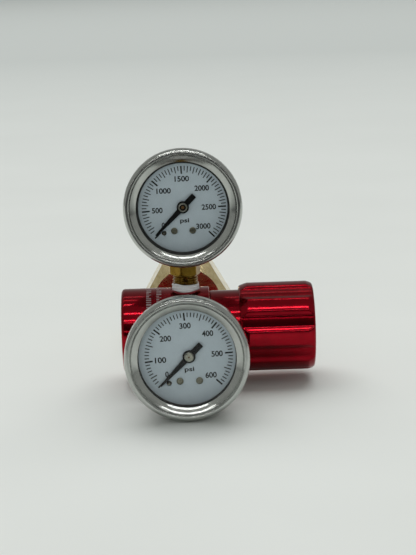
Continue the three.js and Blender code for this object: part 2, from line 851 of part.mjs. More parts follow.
addBodyParts();
addInletParts();
addGauge('top_gauge', [0, -topStemDepth, topGaugeHeight], 0, topSocket(), false);
addGauge('front_gauge', [0, -frontGaugeReach, 0], frontMovementShift, frontSocket(), true);
addPart('top_gauge_tape', tape(), whiteTape);
addPart('front_gauge_tape', alongMinusY(tape()), whiteTape);

export default regulator;
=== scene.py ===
"""Looks for the carbon dioxide regulator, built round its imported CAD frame.

Shapes are drawn in millimetres from a datum and moved into the frame's metres when a piece is made.
The main datum is the point where the body's axis crosses the plane of its ports: +X runs to the
knob, -Y is the way the gauges face and +Z is up. A gauge's own datum is the centre of its bezel's
front, with depth along +Y.
"""

import math

import bmesh
import bpy
import numpy as np
from mathutils import Matrix, Vector

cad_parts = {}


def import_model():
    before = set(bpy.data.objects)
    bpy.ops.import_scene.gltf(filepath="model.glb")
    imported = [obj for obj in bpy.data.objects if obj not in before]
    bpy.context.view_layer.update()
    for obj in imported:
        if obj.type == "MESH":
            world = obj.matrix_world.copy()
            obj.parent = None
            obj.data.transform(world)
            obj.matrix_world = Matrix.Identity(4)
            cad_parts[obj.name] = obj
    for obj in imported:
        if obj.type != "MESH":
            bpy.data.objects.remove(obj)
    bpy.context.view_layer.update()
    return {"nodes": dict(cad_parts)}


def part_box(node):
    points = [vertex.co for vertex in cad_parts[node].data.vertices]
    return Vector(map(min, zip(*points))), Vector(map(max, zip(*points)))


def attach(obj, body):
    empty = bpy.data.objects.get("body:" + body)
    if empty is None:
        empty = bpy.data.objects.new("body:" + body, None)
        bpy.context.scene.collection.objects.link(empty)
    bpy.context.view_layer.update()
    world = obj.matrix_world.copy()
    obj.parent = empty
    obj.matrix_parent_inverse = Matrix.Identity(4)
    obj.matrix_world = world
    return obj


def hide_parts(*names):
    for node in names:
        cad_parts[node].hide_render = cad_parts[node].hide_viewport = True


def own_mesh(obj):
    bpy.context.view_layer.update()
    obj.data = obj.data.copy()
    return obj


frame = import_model()

MM = 0.001
X, Y, Z = range(3)
TOP, FRONT = "top_gauge", "front_gauge"


# ---------------------------------------------------------------- places and sizes from the frame

def centre_of(node):
    low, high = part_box(node)
    return (low + high) / 2


DATUM = Vector((centre_of("top_gauge_bezel").x, centre_of("bonnet").y, centre_of("bonnet").z))


def extent(node, axis, datum=DATUM):
    """A CAD node's lowest and highest coordinate along an axis, in millimetres from the datum."""
    low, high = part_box(node)
    return (low[axis] - datum[axis]) / MM, (high[axis] - datum[axis]) / MM


def bezel_front(gauge):
    """The centre of a gauge's bezel front, in metres."""
    centre = centre_of(f"{gauge}_bezel")
    centre.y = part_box(f"{gauge}_bezel")[0].y
    return centre


GAUGE_DATUM = {gauge: bezel_front(gauge) for gauge in (TOP, FRONT)}


def shifted(gauge):
    """The datum of a gauge's dial and movement, which may sit a little to one side in its case."""
    place = GAUGE_DATUM[gauge].copy()
    place.x = centre_of(f"{gauge}_dial").x
    return place


GAP = 0.3
BODY_LEFT, NECK_END = extent("regulator_body", X)
BODY_RADIUS = extent("regulator_body", Z)[1]
BONNET_LEFT, BONNET_END = extent("bonnet", X)
BODY_RIGHT = BONNET_LEFT - GAP
NECK_RADIUS = 11.5
BONNET_RADIUS = extent("bonnet", Z)[1]
BONNET_THREAD_RADIUS = 12.2
KNOB_START, KNOB_END = extent("adjusting_knob", X)
KNOB_RADIUS = 16.4
BONNET_SHOULDER = KNOB_START + 3.1
KNOB_CEILING = KNOB_END - 4
BEZEL_RADIUS = extent("top_gauge_bezel", Z, GAUGE_DATUM[TOP])[1]
BEZEL_DEPTH = extent("top_gauge_bezel", Y, GAUGE_DATUM[TOP])[1]
SIGHT_RADIUS = 16.7
CASE_RADIUS = extent("top_gauge_case", Z, GAUGE_DATUM[TOP])[1]
CASE_DEPTH = extent("top_gauge_case", Y, GAUGE_DATUM[TOP])[1]
DIAL_RADIUS = extent("top_gauge_dial", Z, GAUGE_DATUM[TOP])[1]
DIAL_FRONT = extent("top_gauge_dial", Y, GAUGE_DATUM[TOP])[0]
NUT_START, NUT_END = extent("inlet_nut", Y)
NUT_FLATS = 2 * extent("inlet_nut", Z)[1]
NIPPLE_START, NIPPLE_END = extent("inlet_nipple", Y)
FRONT_REACH = -extent("front_gauge_bezel", Y)[0]
TOP_HEIGHT = (GAUGE_DATUM[TOP].z - DATUM.z) / MM
TOP_STEM_DEPTH = (DATUM.y - GAUGE_DATUM[TOP].y) / MM


# ---------------------------------------------------------------- shapes: (points, faces) in millimetres

def circle(steps):
    return np.arange(steps) * (2 * np.pi / steps)


def around(axis, radius, along, turn):
    """Points round an axis. The turn is counted from -Y to +Z about X, and from +X otherwise."""
    radius, along, turn = np.broadcast_arrays(radius, along, turn)
    across, up = radius * np.cos(turn), radius * np.sin(turn)
    order = {"x": (along, -across, up), "y": (across, along, up), "z": (across, up, along)}
    return np.stack(order[axis], -1).astype(float)


def skin(rings, closed=False):
    """Quads between rings of equal count; closed joins the last ring to the first."""
    rings = np.asarray(rings)
    rows, steps = rings.shape[:2]
    index = np.arange(rows * steps).reshape(rows, steps)
    nearer = index if closed else index[:-1]
    further = np.roll(index, -1, 0) if closed else index[1:]
    faces = np.stack([nearer, np.roll(nearer, -1, 1), np.roll(further, -1, 1), further], -1)
    return rings.reshape(-1, 3), [tuple(face) for face in faces.reshape(-1, 4).tolist()]


def swept(axis, sections, turn, closed=False):
    """A skin through sections of (radius, along), which may both change round the axis."""
    return skin([around(axis, radius, along, turn) for radius, along in sections], closed)


def capped(rings):
    """Quads between rings, with a face across the first ring and across the last."""
    points, faces = skin(rings)
    count = len(rings[0])
    last = len(points) - count
    return points, [*faces, tuple(range(count))[::-1], tuple(range(last, last + count))]


def join(*shapes):
    points, faces = [], []
    for shape_points, shape_faces in shapes:
        start = sum(len(group) for group in points)
        points.append(np.asarray(shape_points, float))
        faces += [tuple(corner + start for corner in face) for face in shape_faces]
    return np.concatenate(points), faces


def moved(shape, by):
    return np.asarray(shape[0]) + np.asarray(by, float), shape[1]


def turned_to(shape, axis, angle):
    """The shape turned about one of the datum's axes."""
    turn = np.array(Matrix.Rotation(angle, 3, axis))
    return np.asarray(shape[0]) @ turn.T, shape[1]


def softened(profile, closed, arc_steps=5):
    """A profile of (radius, along) or (radius, along, fillet) points, its fillets drawn as arcs."""
    points = [np.array(point[:2], float) for point in profile]
    out = []
    for i, point in enumerate(points):
        fillet = profile[i][2] if len(profile[i]) > 2 else 0
        inside = closed or 0 < i < len(points) - 1
        if not fillet or not inside:
            out.append(point)
            continue
        back, ahead = points[i - 1] - point, points[(i + 1) % len(points)] - point
        back_length, ahead_length = np.linalg.norm(back), np.linalg.norm(ahead)
        back, ahead = back / back_length, ahead / ahead_length
        half = math.acos(float(np.clip(back @ ahead, -1, 1))) / 2
        if half > 1.5:
            out.append(point)
            continue
        tangent = min(fillet / math.tan(half), 0.48 * back_length, 0.48 * ahead_length)
        radius = tangent * math.tan(half)
        middle = (back + ahead) / np.linalg.norm(back + ahead)
        centre = point + middle * radius / math.sin(half)
        start, end = point + back * tangent - centre, point + ahead * tangent - centre
        sweep = math.pi - 2 * half
        for step in range(arc_steps + 1):
            share = step / arc_steps
            mix = (math.sin((1 - share) * sweep) * start + math.sin(share * sweep) * end) / math.sin(sweep)
            out.append(centre + mix)
    return out


def lathe(axis, profile, steps=128, at=(0, 0, 0)):
    """A turned solid. The profile starts and ends on the axis, or is a ring's section."""
    closed = profile[0][0] > 0
    return moved(swept(axis, softened(profile, closed), circle(steps), closed), at)


def rod(axis, radius, start, end, steps=64, at=(0, 0, 0), fillet=0):
    return lathe(axis, [(0, start), (radius, start, fillet), (radius, end, fillet), (0, end)], steps, at)


def tube(axis, inner, outer, start, end, steps=128, fillet=0.1, at=(0, 0, 0)):
    corners = [(inner, start), (outer, start), (outer, end), (inner, end)]
    return lathe(axis, [(r, s, fillet) for r, s in corners], steps, at)


def box(low, high, bevel=0.2):
    """A block with chamfered edges, as stacked rings of eight points."""
    low, high = np.array(low, float), np.array(high, float)

    def ring(level, inset):
        a, b = low + inset, high - inset
        side = [(a[0] + bevel, a[1]), (b[0] - bevel, a[1]), (b[0], a[1] + bevel), (b[0], b[1] - bevel),
                (b[0] - bevel, b[1]), (a[0] + bevel, b[1]), (a[0], b[1] - bevel), (a[0], a[1] + bevel)]
        return [(u, v, level) for u, v in side]

    return capped([ring(low[2], bevel), ring(low[2] + bevel, 0),
                   ring(high[2] - bevel, 0), ring(high[2], bevel)])


def slab(outline, front, back, chamfer=0.0):
    """A plate across Y from an outline of [x, z] points, its front edge chamfered."""
    outline = np.asarray(outline, float)

    def ring(points, depth):
        return np.stack([points[:, 0], np.full(len(points), depth), points[:, 1]], -1)

    rings = [ring(outline, back), ring(outline, front + chamfer)]
    if chamfer:
        following = np.roll(outline, -1, 0)
        ahead, behind = following - outline, outline - np.roll(outline, 1, 0)
        ahead /= np.linalg.norm(ahead, axis=1)[:, None]
        behind /= np.linalg.norm(behind, axis=1)[:, None]
        outward = np.stack([(ahead + behind)[:, 1], -(ahead + behind)[:, 0]], -1)
        outward /= np.linalg.norm(outward, axis=1)[:, None]
        area = np.sum(outline[:, 0] * following[:, 1] - outline[:, 1] * following[:, 0])
        rings.append(ring(outline - outward * chamfer * np.sign(area), front))
    return capped(rings)


def polar(radius, degrees):
    return radius * math.cos(math.radians(degrees)), radius * math.sin(math.radians(degrees))


def smooth_min(a, b, width):
    """The smaller of two values, rounded over a width where they are close."""
    blend = np.clip(0.5 + 0.5 * (b - a) / width, 0, 1)
    return b + (a - b) * blend - width * blend * (1 - blend)


def hexagon_radius(turn, flats, first_flat, rounding=0.25):
    """Distance from the axis to a hexagon's side, with its corners rounded."""
    sides = [flats / 2 / np.maximum(np.cos(turn - first_flat - i * np.pi / 3), 1e-3) for i in range(6)]
    distance = np.full_like(turn, 1e3)
    for side in sides:
        distance = smooth_min(distance, np.where(side > 0, np.minimum(side, 1e3), 1e3), rounding)
    return distance


def thread_ring(turn, along, start, end, pitch, root, crest):
    """The radius of a thread at a place along it, fading out over half a pitch at each end."""
    phase = (along / pitch - turn / (2 * np.pi)) % 1
    height = np.clip(1.6 * (1 - np.abs(2 * phase - 1)) - 0.3, 0, 1)
    fade = np.clip(min(along - start, end - along) / (0.5 * pitch), 0, 1)
    return root + (crest - root) * height * fade


# ---------------------------------------------------------------- pieces

def linked(name, data):
    """A new object in the scene for some mesh, light, camera or curve."""
    obj = bpy.data.objects.new(name, data)
    bpy.context.scene.collection.objects.link(obj)
    return obj


def piece(name, shape, look, node=None, body="housing", at=DATUM, cutters=(), sharp=32):
    """Makes one visible piece from a shape. It rides on a CAD body and may stand for a CAD node."""
    slot, material = LOOKS[look]
    obj = solid(name, shape, at)
    for i, cutter_shape in enumerate(cutters):
        cutter = solid(f"{name}_cutter{i}", cutter_shape, at)
        cut = obj.modifiers.new("cut", "BOOLEAN")
        cut.object = cutter
        cut.solver = "EXACT"
        graph = bpy.context.evaluated_depsgraph_get()
        mesh = bpy.data.meshes.new_from_object(obj.evaluated_get(graph))
        obj.modifiers.clear()
        obj.data = mesh
        bpy.data.objects.remove(cutter)
    mesh = obj.data
    mesh.name = name
    mesh.materials.clear()
    mesh.materials.append(material)
    mesh.shade_smooth()
    mesh.set_sharp_from_angle(angle=math.radians(sharp))
    normals = obj.modifiers.new("normals", "WEIGHTED_NORMAL")
    normals.keep_sharp = True
    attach(obj, body)
    if node:
        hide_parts(node)
    return obj


def solid(name, shape, at):
    """A linked object whose mesh is the shape, welded, in the frame's metres."""
    points, faces = shape
    mesh = bpy.data.meshes.new(name)
    mesh.from_pydata((np.asarray(points) * MM + np.array(at)).tolist(), [], faces)
    work = bmesh.new()
    work.from_mesh(mesh)
    bmesh.ops.remove_doubles(work, verts=work.verts, dist=2e-7)
    bmesh.ops.dissolve_degenerate(work, edges=work.edges, dist=1e-8)
    bmesh.ops.recalc_face_normals(work, faces=work.faces)
    work.to_mesh(mesh)
    work.free()
    return linked(name, mesh)


# ---------------------------------------------------------------- materials

class Surface:
    """A material under construction: its nodes, and its Principled shader."""

    def __init__(self, name, centre=DATUM, axis="x"):
        self.material = bpy.data.materials.new(name)
        self.material.use_nodes = True
        self.tree = self.material.node_tree
        self.shader = self.tree.nodes["Principled BSDF"]
        self.centre, self.axis = centre, axis

    def node(self, kind, **inputs):
        """Adds a node; its inputs are given by name, or as i0, i1 and so on by number."""
        made = self.tree.nodes.new(kind)
        for key, value in inputs.items():
            numbered = key[0] == "i" and key[1:].isdigit()
            socket = made.inputs[int(key[1:]) if numbered else key]
            if isinstance(value, bpy.types.NodeSocket):
                self.tree.links.new(value, socket)
            else:
                socket.default_value = value
        return made

    def math(self, operation, a, b=0.0):
        made = self.node("ShaderNodeMath", i0=a, i1=b)
        made.operation = operation
        return made.outputs[0]

    def local(self):
        """Position in millimetres from the centre."""
        place = self.tree.nodes.new("ShaderNodeTexCoord").outputs["Object"]
        offset = self.node("ShaderNodeVectorMath", i0=place, i1=tuple(self.centre))
        offset.operation = "SUBTRACT"
        scaled = self.node("ShaderNodeVectorMath", i0=offset.outputs[0])
        scaled.operation = "SCALE"
        scaled.inputs["Scale"].default_value = 1 / MM
        return scaled.outputs[0]

    def turned(self):
        """(distance from the axis, place along the axis) as sockets, for marks left by turning."""
        parts = self.node("ShaderNodeSeparateXYZ", i0=self.local())
        along = "XYZ".index(self.axis.upper())
        u, v = [parts.outputs[i] for i in range(3) if i != along]
        squares = self.math("ADD", self.math("MULTIPLY", u, u), self.math("MULTIPLY", v, v))
        return self.math("SQRT", squares), parts.outputs[along]

    def turning_marks(self, pitch):
        """Fine rings round the axis: noise that changes only with radius and place along the axis."""
        radius, along = self.turned()
        place = self.node("ShaderNodeCombineXYZ", i0=radius, i1=along)
        return self.node("ShaderNodeTexNoise", Vector=place.outputs[0], Scale=1 / pitch, Detail=3.0,
                         Roughness=0.6).outputs[0]

    def noise(self, size, detail=4.0, roughness=0.55, stretch=(1, 1, 1)):
        place = self.local()
        if stretch != (1, 1, 1):
            place = self.node("ShaderNodeMapping", i0=place, Scale=stretch).outputs[0]
        return self.node("ShaderNodeTexNoise", Vector=place, Scale=1 / size, Detail=detail,
                         Roughness=roughness).outputs[0]

    def between(self, factor, low, high, start=0.0, end=1.0):
        """A value that runs from low to high as the factor runs from start to end."""
        limits = {"From Min": start, "From Max": end, "To Min": low, "To Max": high}
        return self.node("ShaderNodeMapRange", Value=factor, **limits).outputs[0]

    def colours(self, factor, first, second, start=0.35, end=0.65):
        """A colour that runs from first to second as the factor runs from start to end."""
        ramp = self.node("ShaderNodeValToRGB", i0=factor)
        for element, place, colour in zip(ramp.color_ramp.elements, (start, end), (first, second)):
            element.position = place
            element.color = (*colour, 1)
        return ramp.outputs[0]

    def blend(self, factor, first, second):
        mix = self.node("ShaderNodeMix", i0=factor)
        mix.data_type = "RGBA"
        for socket, value in ((mix.inputs[6], first), (mix.inputs[7], second)):
            if isinstance(value, bpy.types.NodeSocket):
                self.tree.links.new(value, socket)
            else:
                socket.default_value = (*value, 1)
        return mix.outputs[2]

    def worn_edges(self, width=0.35):
        """1 along outer edges and 0 elsewhere, broken up by noise."""
        bevel = self.node("ShaderNodeBevel", Radius=width * MM)
        bevel.samples = 4
        normal = self.tree.nodes.new("ShaderNodeNewGeometry").outputs["Normal"]
        facing = self.node("ShaderNodeVectorMath", i0=bevel.outputs[0], i1=normal)
        facing.operation = "DOT_PRODUCT"
        edge = self.between(facing.outputs["Value"], 1.0, 0.0, 0.9, 0.995)
        return self.math("MULTIPLY", edge, self.between(self.noise(0.8), 0.0, 1.0, 0.4, 0.65))

    def bump(self, height, strength, distance, after=None):
        made = self.node("ShaderNodeBump", Height=height, Strength=strength, Distance=distance * MM)
        if after is not None:
            self.tree.links.new(after, made.inputs["Normal"])
        return made.outputs[0]

    def set(self, **values):
        """Sets or links the Principled shader's inputs."""
        names = {"color": "Base Color", "metallic": "Metallic", "roughness": "Roughness",
                 "normal": "Normal", "coat": "Coat Weight", "coat_roughness": "Coat Roughness",
                 "specular": "Specular IOR Level", "subsurface": "Subsurface Weight"}
        for key, value in values.items():
            socket = self.shader.inputs[names[key]]
            if isinstance(value, bpy.types.NodeSocket):
                self.tree.links.new(value, socket)
            elif key == "color":
                socket.default_value = (*value, 1)
            else:
                socket.default_value = value

    def show(self, shader):
        """Shows another shader in place of the Principled one."""
        self.tree.nodes.remove(self.shader)
        self.tree.links.new(shader.outputs[0], self.tree.nodes["Material Output"].inputs["Surface"])


def red_anodised(name):
    """Dyed anodised aluminium: turned, satin, with a clear oxide skin over the metal."""
    s = Surface(name)
    marks = s.turning_marks(0.18)
    broad = s.noise(9.0, 2.0)
    scuffs = s.noise(0.5, 6.0, 0.7, (1, 1, 4))
    dye = s.colours(broad, (0.24, 0.0007, 0.007), (0.32, 0.0011, 0.010))
    worn = s.blend(s.math("MULTIPLY", s.worn_edges(), 0.35), dye, (0.60, 0.06, 0.08))
    rough = s.math("ADD", s.between(marks, 0.11, 0.13, 0.3, 0.7),
                   s.between(scuffs, 0.0, 0.03, 0.55, 0.8))
    grooves = s.bump(marks, 0.05, 0.008)
    s.set(color=worn, metallic=1.0, roughness=rough, coat=0.16, coat_roughness=0.03,
          normal=s.bump(scuffs, 0.02, 0.006, grooves))
    return s.material


def steel(name, centre, axis, tint, rough, marks_pitch=0.12, marks_depth=0.008, streak=0.1):
    """Bare steel with turning or polishing rings and faint handling smudges."""
    s = Surface(name, centre, axis)
    marks = s.turning_marks(marks_pitch)
    smudge = s.noise(4.0, 5.0, 0.65)
    darker = tuple(0.82 * value for value in tint)
    colour = s.colours(smudge, darker, tint, 0.3, 0.7)
    roughness = s.math("ADD", s.between(marks, rough * 0.8, rough * 1.2, 0.3, 0.7),
                       s.between(smudge, 0.0, streak, 0.5, 0.8))
    s.set(color=colour, metallic=1.0, roughness=roughness, normal=s.bump(marks, 0.2, marks_depth))
    return s.material


PLAIN_STEEL = (0.50, 0.50, 0.49)
# Tarnished, clean and worn brass
PALE_BRASS = ((0.68, 0.53, 0.27), (0.88, 0.73, 0.44), (0.96, 0.86, 0.62))
# A darkened copy of the same brass for the gauge stems: painted shade for the shadow under the gauges
SHADED_BRASS = ((0.15, 0.08, 0.010), (0.25, 0.15, 0.022), (0.70, 0.50, 0.16))


def brass(name, centre=DATUM, axis="y", shades=PALE_BRASS, rough=0.2):
    """Machined brass with cutting rings, slight tarnish in patches and brighter edges."""
    tarnished, clean, worn = shades
    s = Surface(name, centre, axis)
    marks = s.turning_marks(0.22)
    tarnish = s.noise(3.0, 6.0, 0.7)
    base = s.colours(tarnish, tarnished, clean, 0.3, 0.6)
    colour = s.blend(s.math("MULTIPLY", s.worn_edges(0.25), 0.5), base, worn)
    roughness = s.math("ADD", s.between(marks, rough * 0.7, rough * 1.3, 0.3, 0.7),
                       s.between(tarnish, 0.12, 0.0, 0.3, 0.6))
    s.set(color=colour, metallic=1.0, roughness=roughness, normal=s.bump(marks, 0.22, 0.012))
    return s.material


def bronze(name):
    """Sintered or drawn bronze: brown and granular."""
    s = Surface(name)
    grain = s.noise(0.12, 3.0, 0.6)
    patina = s.noise(2.5, 4.0)
    colour = s.colours(patina, (0.15, 0.075, 0.03), (0.32, 0.18, 0.075))
    s.set(color=colour, metallic=0.9, roughness=s.between(grain, 0.35, 0.6),
          normal=s.bump(grain, 0.5, 0.05))
    return s.material


def clear_glass(name):
    """A clear window: it shows what is behind it, and its outside mirrors a little more at a slant."""
    s = Surface(name)
    clear = s.node("ShaderNodeBsdfTransparent", Color=(0.955, 0.97, 0.965, 1))
    smear = s.between(s.noise(5.0, 5.0, 0.6), 0.015, 0.06, 0.4, 0.8)
    ripple = s.bump(s.noise(8.0, 1.0), 0.03, 0.05)
    gloss = s.node("ShaderNodeBsdfGlossy", Roughness=smear, Normal=ripple)
    mirror = s.node("ShaderNodeFresnel", IOR=1.42).outputs[0]
    leaving = s.tree.nodes.new("ShaderNodeNewGeometry").outputs["Backfacing"]
    entering = s.math("SUBTRACT", 1.0, leaving)
    mix = s.node("ShaderNodeMixShader", i0=s.math("MULTIPLY", mirror, entering),
                 i1=clear.outputs[0], i2=gloss.outputs[0])
    s.show(mix)
    return s.material


def plain(name, first, second, rough, size=1.5, bump_size=0.25, bump_depth=0.01, specular=0.5):
    """A non-metal with a little mottling and a fine surface texture."""
    s = Surface(name)
    mottle = s.noise(size, 5.0, 0.6)
    fine = s.noise(bump_size, 3.0)
    roughness = s.between(fine, rough - 0.06, rough + 0.06)
    s.set(color=s.colours(mottle, first, second, 0.3, 0.7), roughness=roughness,
          normal=s.bump(fine, 0.3, bump_depth), specular=specular)
    return s.material


def thread_tape(name):
    """Wound thread tape: white, slightly translucent film with creases and a fine weave."""
    s = Surface(name)
    creases = s.noise(0.7, 5.0, 0.6, (1, 1, 2.5))
    weave = s.noise(0.12, 2.0)
    height = s.math("ADD", creases, s.math("MULTIPLY", weave, 0.25))
    s.set(color=s.colours(creases, (0.90, 0.90, 0.91), (0.97, 0.97, 0.97), 0.3, 0.6),
          roughness=s.between(creases, 0.35, 0.55), normal=s.bump(height, 0.5, 0.08), subsurface=0.1)
    return s.material


# Each look: the record's material slot and the material that shows it
LOOKS = {
    "red": ("red_anodised", red_anodised("red_anodised")),
    "knob_red": ("red_anodised", red_anodised("red_anodised_knob")),
    "plug": ("plain_steel", steel("plug_steel", DATUM, "x", (0.40, 0.40, 0.39), 0.26)),
    "plain_steel": ("plain_steel", steel("plain_steel", DATUM, "x", PLAIN_STEEL, 0.30)),
    "spring_steel": ("spring_steel", steel("spring_steel", DATUM, "x", (0.33, 0.34, 0.36), 0.32, 0.05)),
    "brass_x": ("brass", brass("brass_valve", DATUM, "x")),
    "brass_y": ("brass", brass("brass_inlet", DATUM, "y", PALE_BRASS, 0.14)),
    # The stems use the darkened brass copy: painted shade
    "brass_z": ("brass", brass("shaded_brass_top_stem", DATUM, "z", SHADED_BRASS)),
    "brass_front": ("brass", brass("shaded_brass_front_stem", DATUM, "y", SHADED_BRASS)),
    "bronze": ("bronze", bronze("bronze")),
    "glass": ("clear_glass", clear_glass("clear_glass")),
    "enamel": ("white_enamel", plain("dial_enamel", (0.61, 0.67, 0.745), (0.65, 0.71, 0.785),
                                     0.5, 3.0, 0.3, 0.002, 0.2)),
    "ink": ("black_enamel", plain("dial_ink", (0.018, 0.018, 0.02), (0.035, 0.035, 0.038),
                                  0.5, 0.6, 0.1, 0.003, 0.1)),
    "fine_ink": ("black_enamel", plain("dial_fine_ink", (0.022, 0.023, 0.026), (0.04, 0.042, 0.046),
                                       0.5, 0.6, 0.1, 0.003, 0.1)),
    "pointer": ("black_enamel", plain("pointer_enamel", (0.003, 0.003, 0.003), (0.007, 0.007, 0.007),
                                      0.5, 0.8, 0.3, 0.002, 0.1)),
    "rubber": ("black_rubber", plain("black_rubber", (0.012, 0.012, 0.012), (0.03, 0.03, 0.03),
                                     0.7, 0.6, 0.1, 0.02)),
    "nylon": ("white_nylon", plain("white_nylon", (0.62, 0.60, 0.53), (0.72, 0.70, 0.62),
                                   0.45, 1.5, 0.3, 0.02)),
    "marks": ("white_enamel", plain("engraved_marks", (0.20, 0.14, 0.14), (0.34, 0.26, 0.26),
                                    0.55, 0.4, 0.1, 0.01)),
    f"{TOP}_tape": ("white_tape", thread_tape("thread_tape_top")),
    f"{FRONT}_tape": ("white_tape", thread_tape("thread_tape_front")),
}
# The pinion staffs are brass in the record, but look as brown as the bronze
LOOKS["staff"] = ("brass", LOOKS["bronze"][1])


def gauge_looks(gauge):
    """Metals turned about a gauge's own axis, or its dial's."""
    place, centre = GAUGE_DATUM[gauge], shifted(gauge)
    polished = steel(f"polished_steel_{gauge}", place, "y", (0.51, 0.525, 0.50), 0.15, 0.10, 0.0005, 0.04)
    case_steel = steel(f"plain_steel_{gauge}", place, "y", PLAIN_STEEL, 0.28)
    hub_steel = steel(f"hub_steel_{gauge}", centre, "y", (0.48, 0.46, 0.39), 0.3, 0.1)
    screw_steel = steel(f"screw_steel_{gauge}", centre, "y", (0.24, 0.225, 0.17), 0.3, 0.1)
    return {
        f"{gauge}_bezel": ("polished_steel", polished),
        f"{gauge}_steel": ("plain_steel", case_steel),
        f"{gauge}_brass": ("brass", brass(f"brass_{gauge}", place)),
        f"{gauge}_hub": ("plain_steel", hub_steel),
        f"{gauge}_screw": ("plain_steel", screw_steel),
    }


for gauge in (TOP, FRONT):
    LOOKS.update(gauge_looks(gauge))


# ---------------------------------------------------------------- body, bonnet and knob

# The body's bores along X: radius, and how far right each one reaches
PLUG_BORE = (7.3, BODY_LEFT + 12.3)
HIGH_CHAMBER = (5.0, 3.4)
SEAT_BORE = (4.0, 7.4)
PISTON_BORE_RADIUS = 9.3
PORT_FLOOR = 7.8
GAUGE_PORT_RADIUS, INLET_PORT_RADIUS, OUTLET_PORT_RADIUS = 5.35, 6.9, 4.3


def port(radius):
    """A cutter for a countersunk port that opens outward along +Z."""
    mouth, wide = BODY_RADIUS + 2, radius + 0.5
    return lathe("z", [
        (0, PORT_FLOOR), (radius, PORT_FLOOR), (radius, BODY_RADIUS - 0.6), (wide, BODY_RADIUS + 0.2),
        (wide, mouth), (0, mouth),
    ], 96)


def threaded_port(radius, pitch):
    """A cutter for a port with a helical thread, which opens outward along +Z."""
    turn, mouth = circle(96), BODY_RADIUS + 2
    root, crest = radius - 0.4, radius
    start, end = PORT_FLOOR + 0.5, BODY_RADIUS - 0.2
    thread = [(thread_ring(turn, s, start, end, pitch, root, crest), s)
              for s in np.arange(start, end, pitch / 8)]
    return swept("z", [(0, PORT_FLOOR), (root, PORT_FLOOR), *thread, (crest + 0.3, end),
                       (crest + 0.3, mouth), (0, mouth)], turn)


def regulator_body():
    (plug_radius, plug_end), (chamber_radius, chamber_end) = PLUG_BORE, HIGH_CHAMBER
    seat_radius, seat_end = SEAT_BORE
    shape = lathe("x", [
        (plug_radius, BODY_LEFT, 0.2), (BODY_RADIUS, BODY_LEFT, 1.3), (BODY_RADIUS, BODY_RIGHT, 0.35),
        (NECK_RADIUS, BODY_RIGHT), (NECK_RADIUS, NECK_END, 0.3), (PISTON_BORE_RADIUS, NECK_END, 0.3),
        (PISTON_BORE_RADIUS, seat_end), (seat_radius, seat_end, 0.2), (seat_radius, chamber_end, 0.1),
        (chamber_radius, chamber_end), (chamber_radius, plug_end, 0.2), (plug_radius, plug_end),
    ], 192)
    gauge_port = port(GAUGE_PORT_RADIUS)
    cutters = [
        gauge_port,
        turned_to(gauge_port, "X", math.pi / 2),
        turned_to(port(INLET_PORT_RADIUS), "X", -math.pi / 2),
        turned_to(threaded_port(OUTLET_PORT_RADIUS, 1.0), "X", math.pi),
    ]
    piece("body_shell", shape, "red", "regulator_body", cutters=cutters)


def end_plug():
    """A round plug with an O-ring groove, a hexagon socket and a guide for the poppet's stem."""
    radius, face, end = PLUG_BORE[0] - GAP, BODY_LEFT + 0.4, PLUG_BORE[1] - GAP
    groove_radius, groove = 5.6, (end - 3.5, end - 1.8)
    shape = lathe("x", [
        (0, face), (radius, face, 0.5), (radius, groove[0], 0.1), (groove_radius, groove[0], 0.1),
        (groove_radius, groove[1], 0.1), (radius, groove[1], 0.1), (radius, end, 0.3), (0, end),
    ], 96)
    turn = circle(96)
    key = hexagon_radius(turn, 6.0, 0.0, 0.08)
    hollow = ((0, 5.6), (key * 0.5, 5.2), (key, 5), (key, 0.35),
              (key + 0.4, -0.05), (key + 0.4, -1), (0, -1))
    socket = moved(swept("x", hollow, turn), (face, 0, 0))
    guide = rod("x", 2.0, end - 3, end + 1)
    piece("plug", shape, "plug", "end_plug", cutters=[socket, guide])


def body_marks():
    """Two rows of plain bars round the body, some long and some short, in place of its engraving."""
    outer, inner, half_row = BODY_RADIUS + 0.025, BODY_RADIUS - 0.075, 0.9
    first_angle, last_angle, gap = 12.0, 82.0, 1.7
    bars = []
    for row, along in enumerate((-13.5, -9.8)):
        angle, count = first_angle, 0
        while angle < last_angle:
            kind = (count * 5 + row * 3) % 7
            width = 1.4 + 0.55 * (kind % 4)
            low, high = along - half_row, along + half_row * (0.1 if kind in (2, 5) else 1)
            bars.append(capped([
                around("x", (outer, outer, inner, inner), (low, high, high, low), turn)
                for turn in np.radians(np.linspace(angle, angle + width, 4))
            ]))
            angle += width + gap
            count += 1
    piece("body_marks", join(*bars), "marks")


def bonnet():
    """The sleeve on the body's neck. Its narrower right part goes inside the knob."""
    clear, bore, ledge = NECK_RADIUS + GAP, 10.5, NECK_END + 0.5
    profile = [
        (clear, BONNET_LEFT, 0.2), (BONNET_RADIUS, BONNET_LEFT, 0.5), (BONNET_RADIUS, BONNET_SHOULDER, 0.3),
        (BONNET_THREAD_RADIUS, BONNET_SHOULDER), (BONNET_THREAD_RADIUS, BONNET_END, 0.5),
        (bore, BONNET_END, 0.3), (bore, ledge), (clear, ledge, 0.1),
    ]
    piece("bonnet_shell", lathe("x", profile, 192), "red", "bonnet")


KNOB_FLUTES = 8
# The knob's left and right end: radius of its face, length of its cone, rounding between the two
KNOB_ENDS = ((KNOB_RADIUS - 1.1, 3.6, 0.5), (KNOB_RADIUS - 0.9, 3.0, 0.8))


def fluted(turn):
    """The knob's radius round its axis: wide flutes between narrow lands, with sloping walls."""
    pitch, turn_offset = 360 / KNOB_FLUTES, 5.8
    half_land, wall_width, depth = 9, 6, 0.9  # the first two in degrees
    from_land = np.abs((np.degrees(turn) + turn_offset + pitch / 2) % pitch - pitch / 2)
    wall = KNOB_RADIUS - (from_land - half_land) * depth / wall_width
    land, floor = np.full_like(turn, KNOB_RADIUS), np.full_like(turn, KNOB_RADIUS - depth)
    return smooth_min(land, -smooth_min(-wall, -floor, 0.3), 0.1)


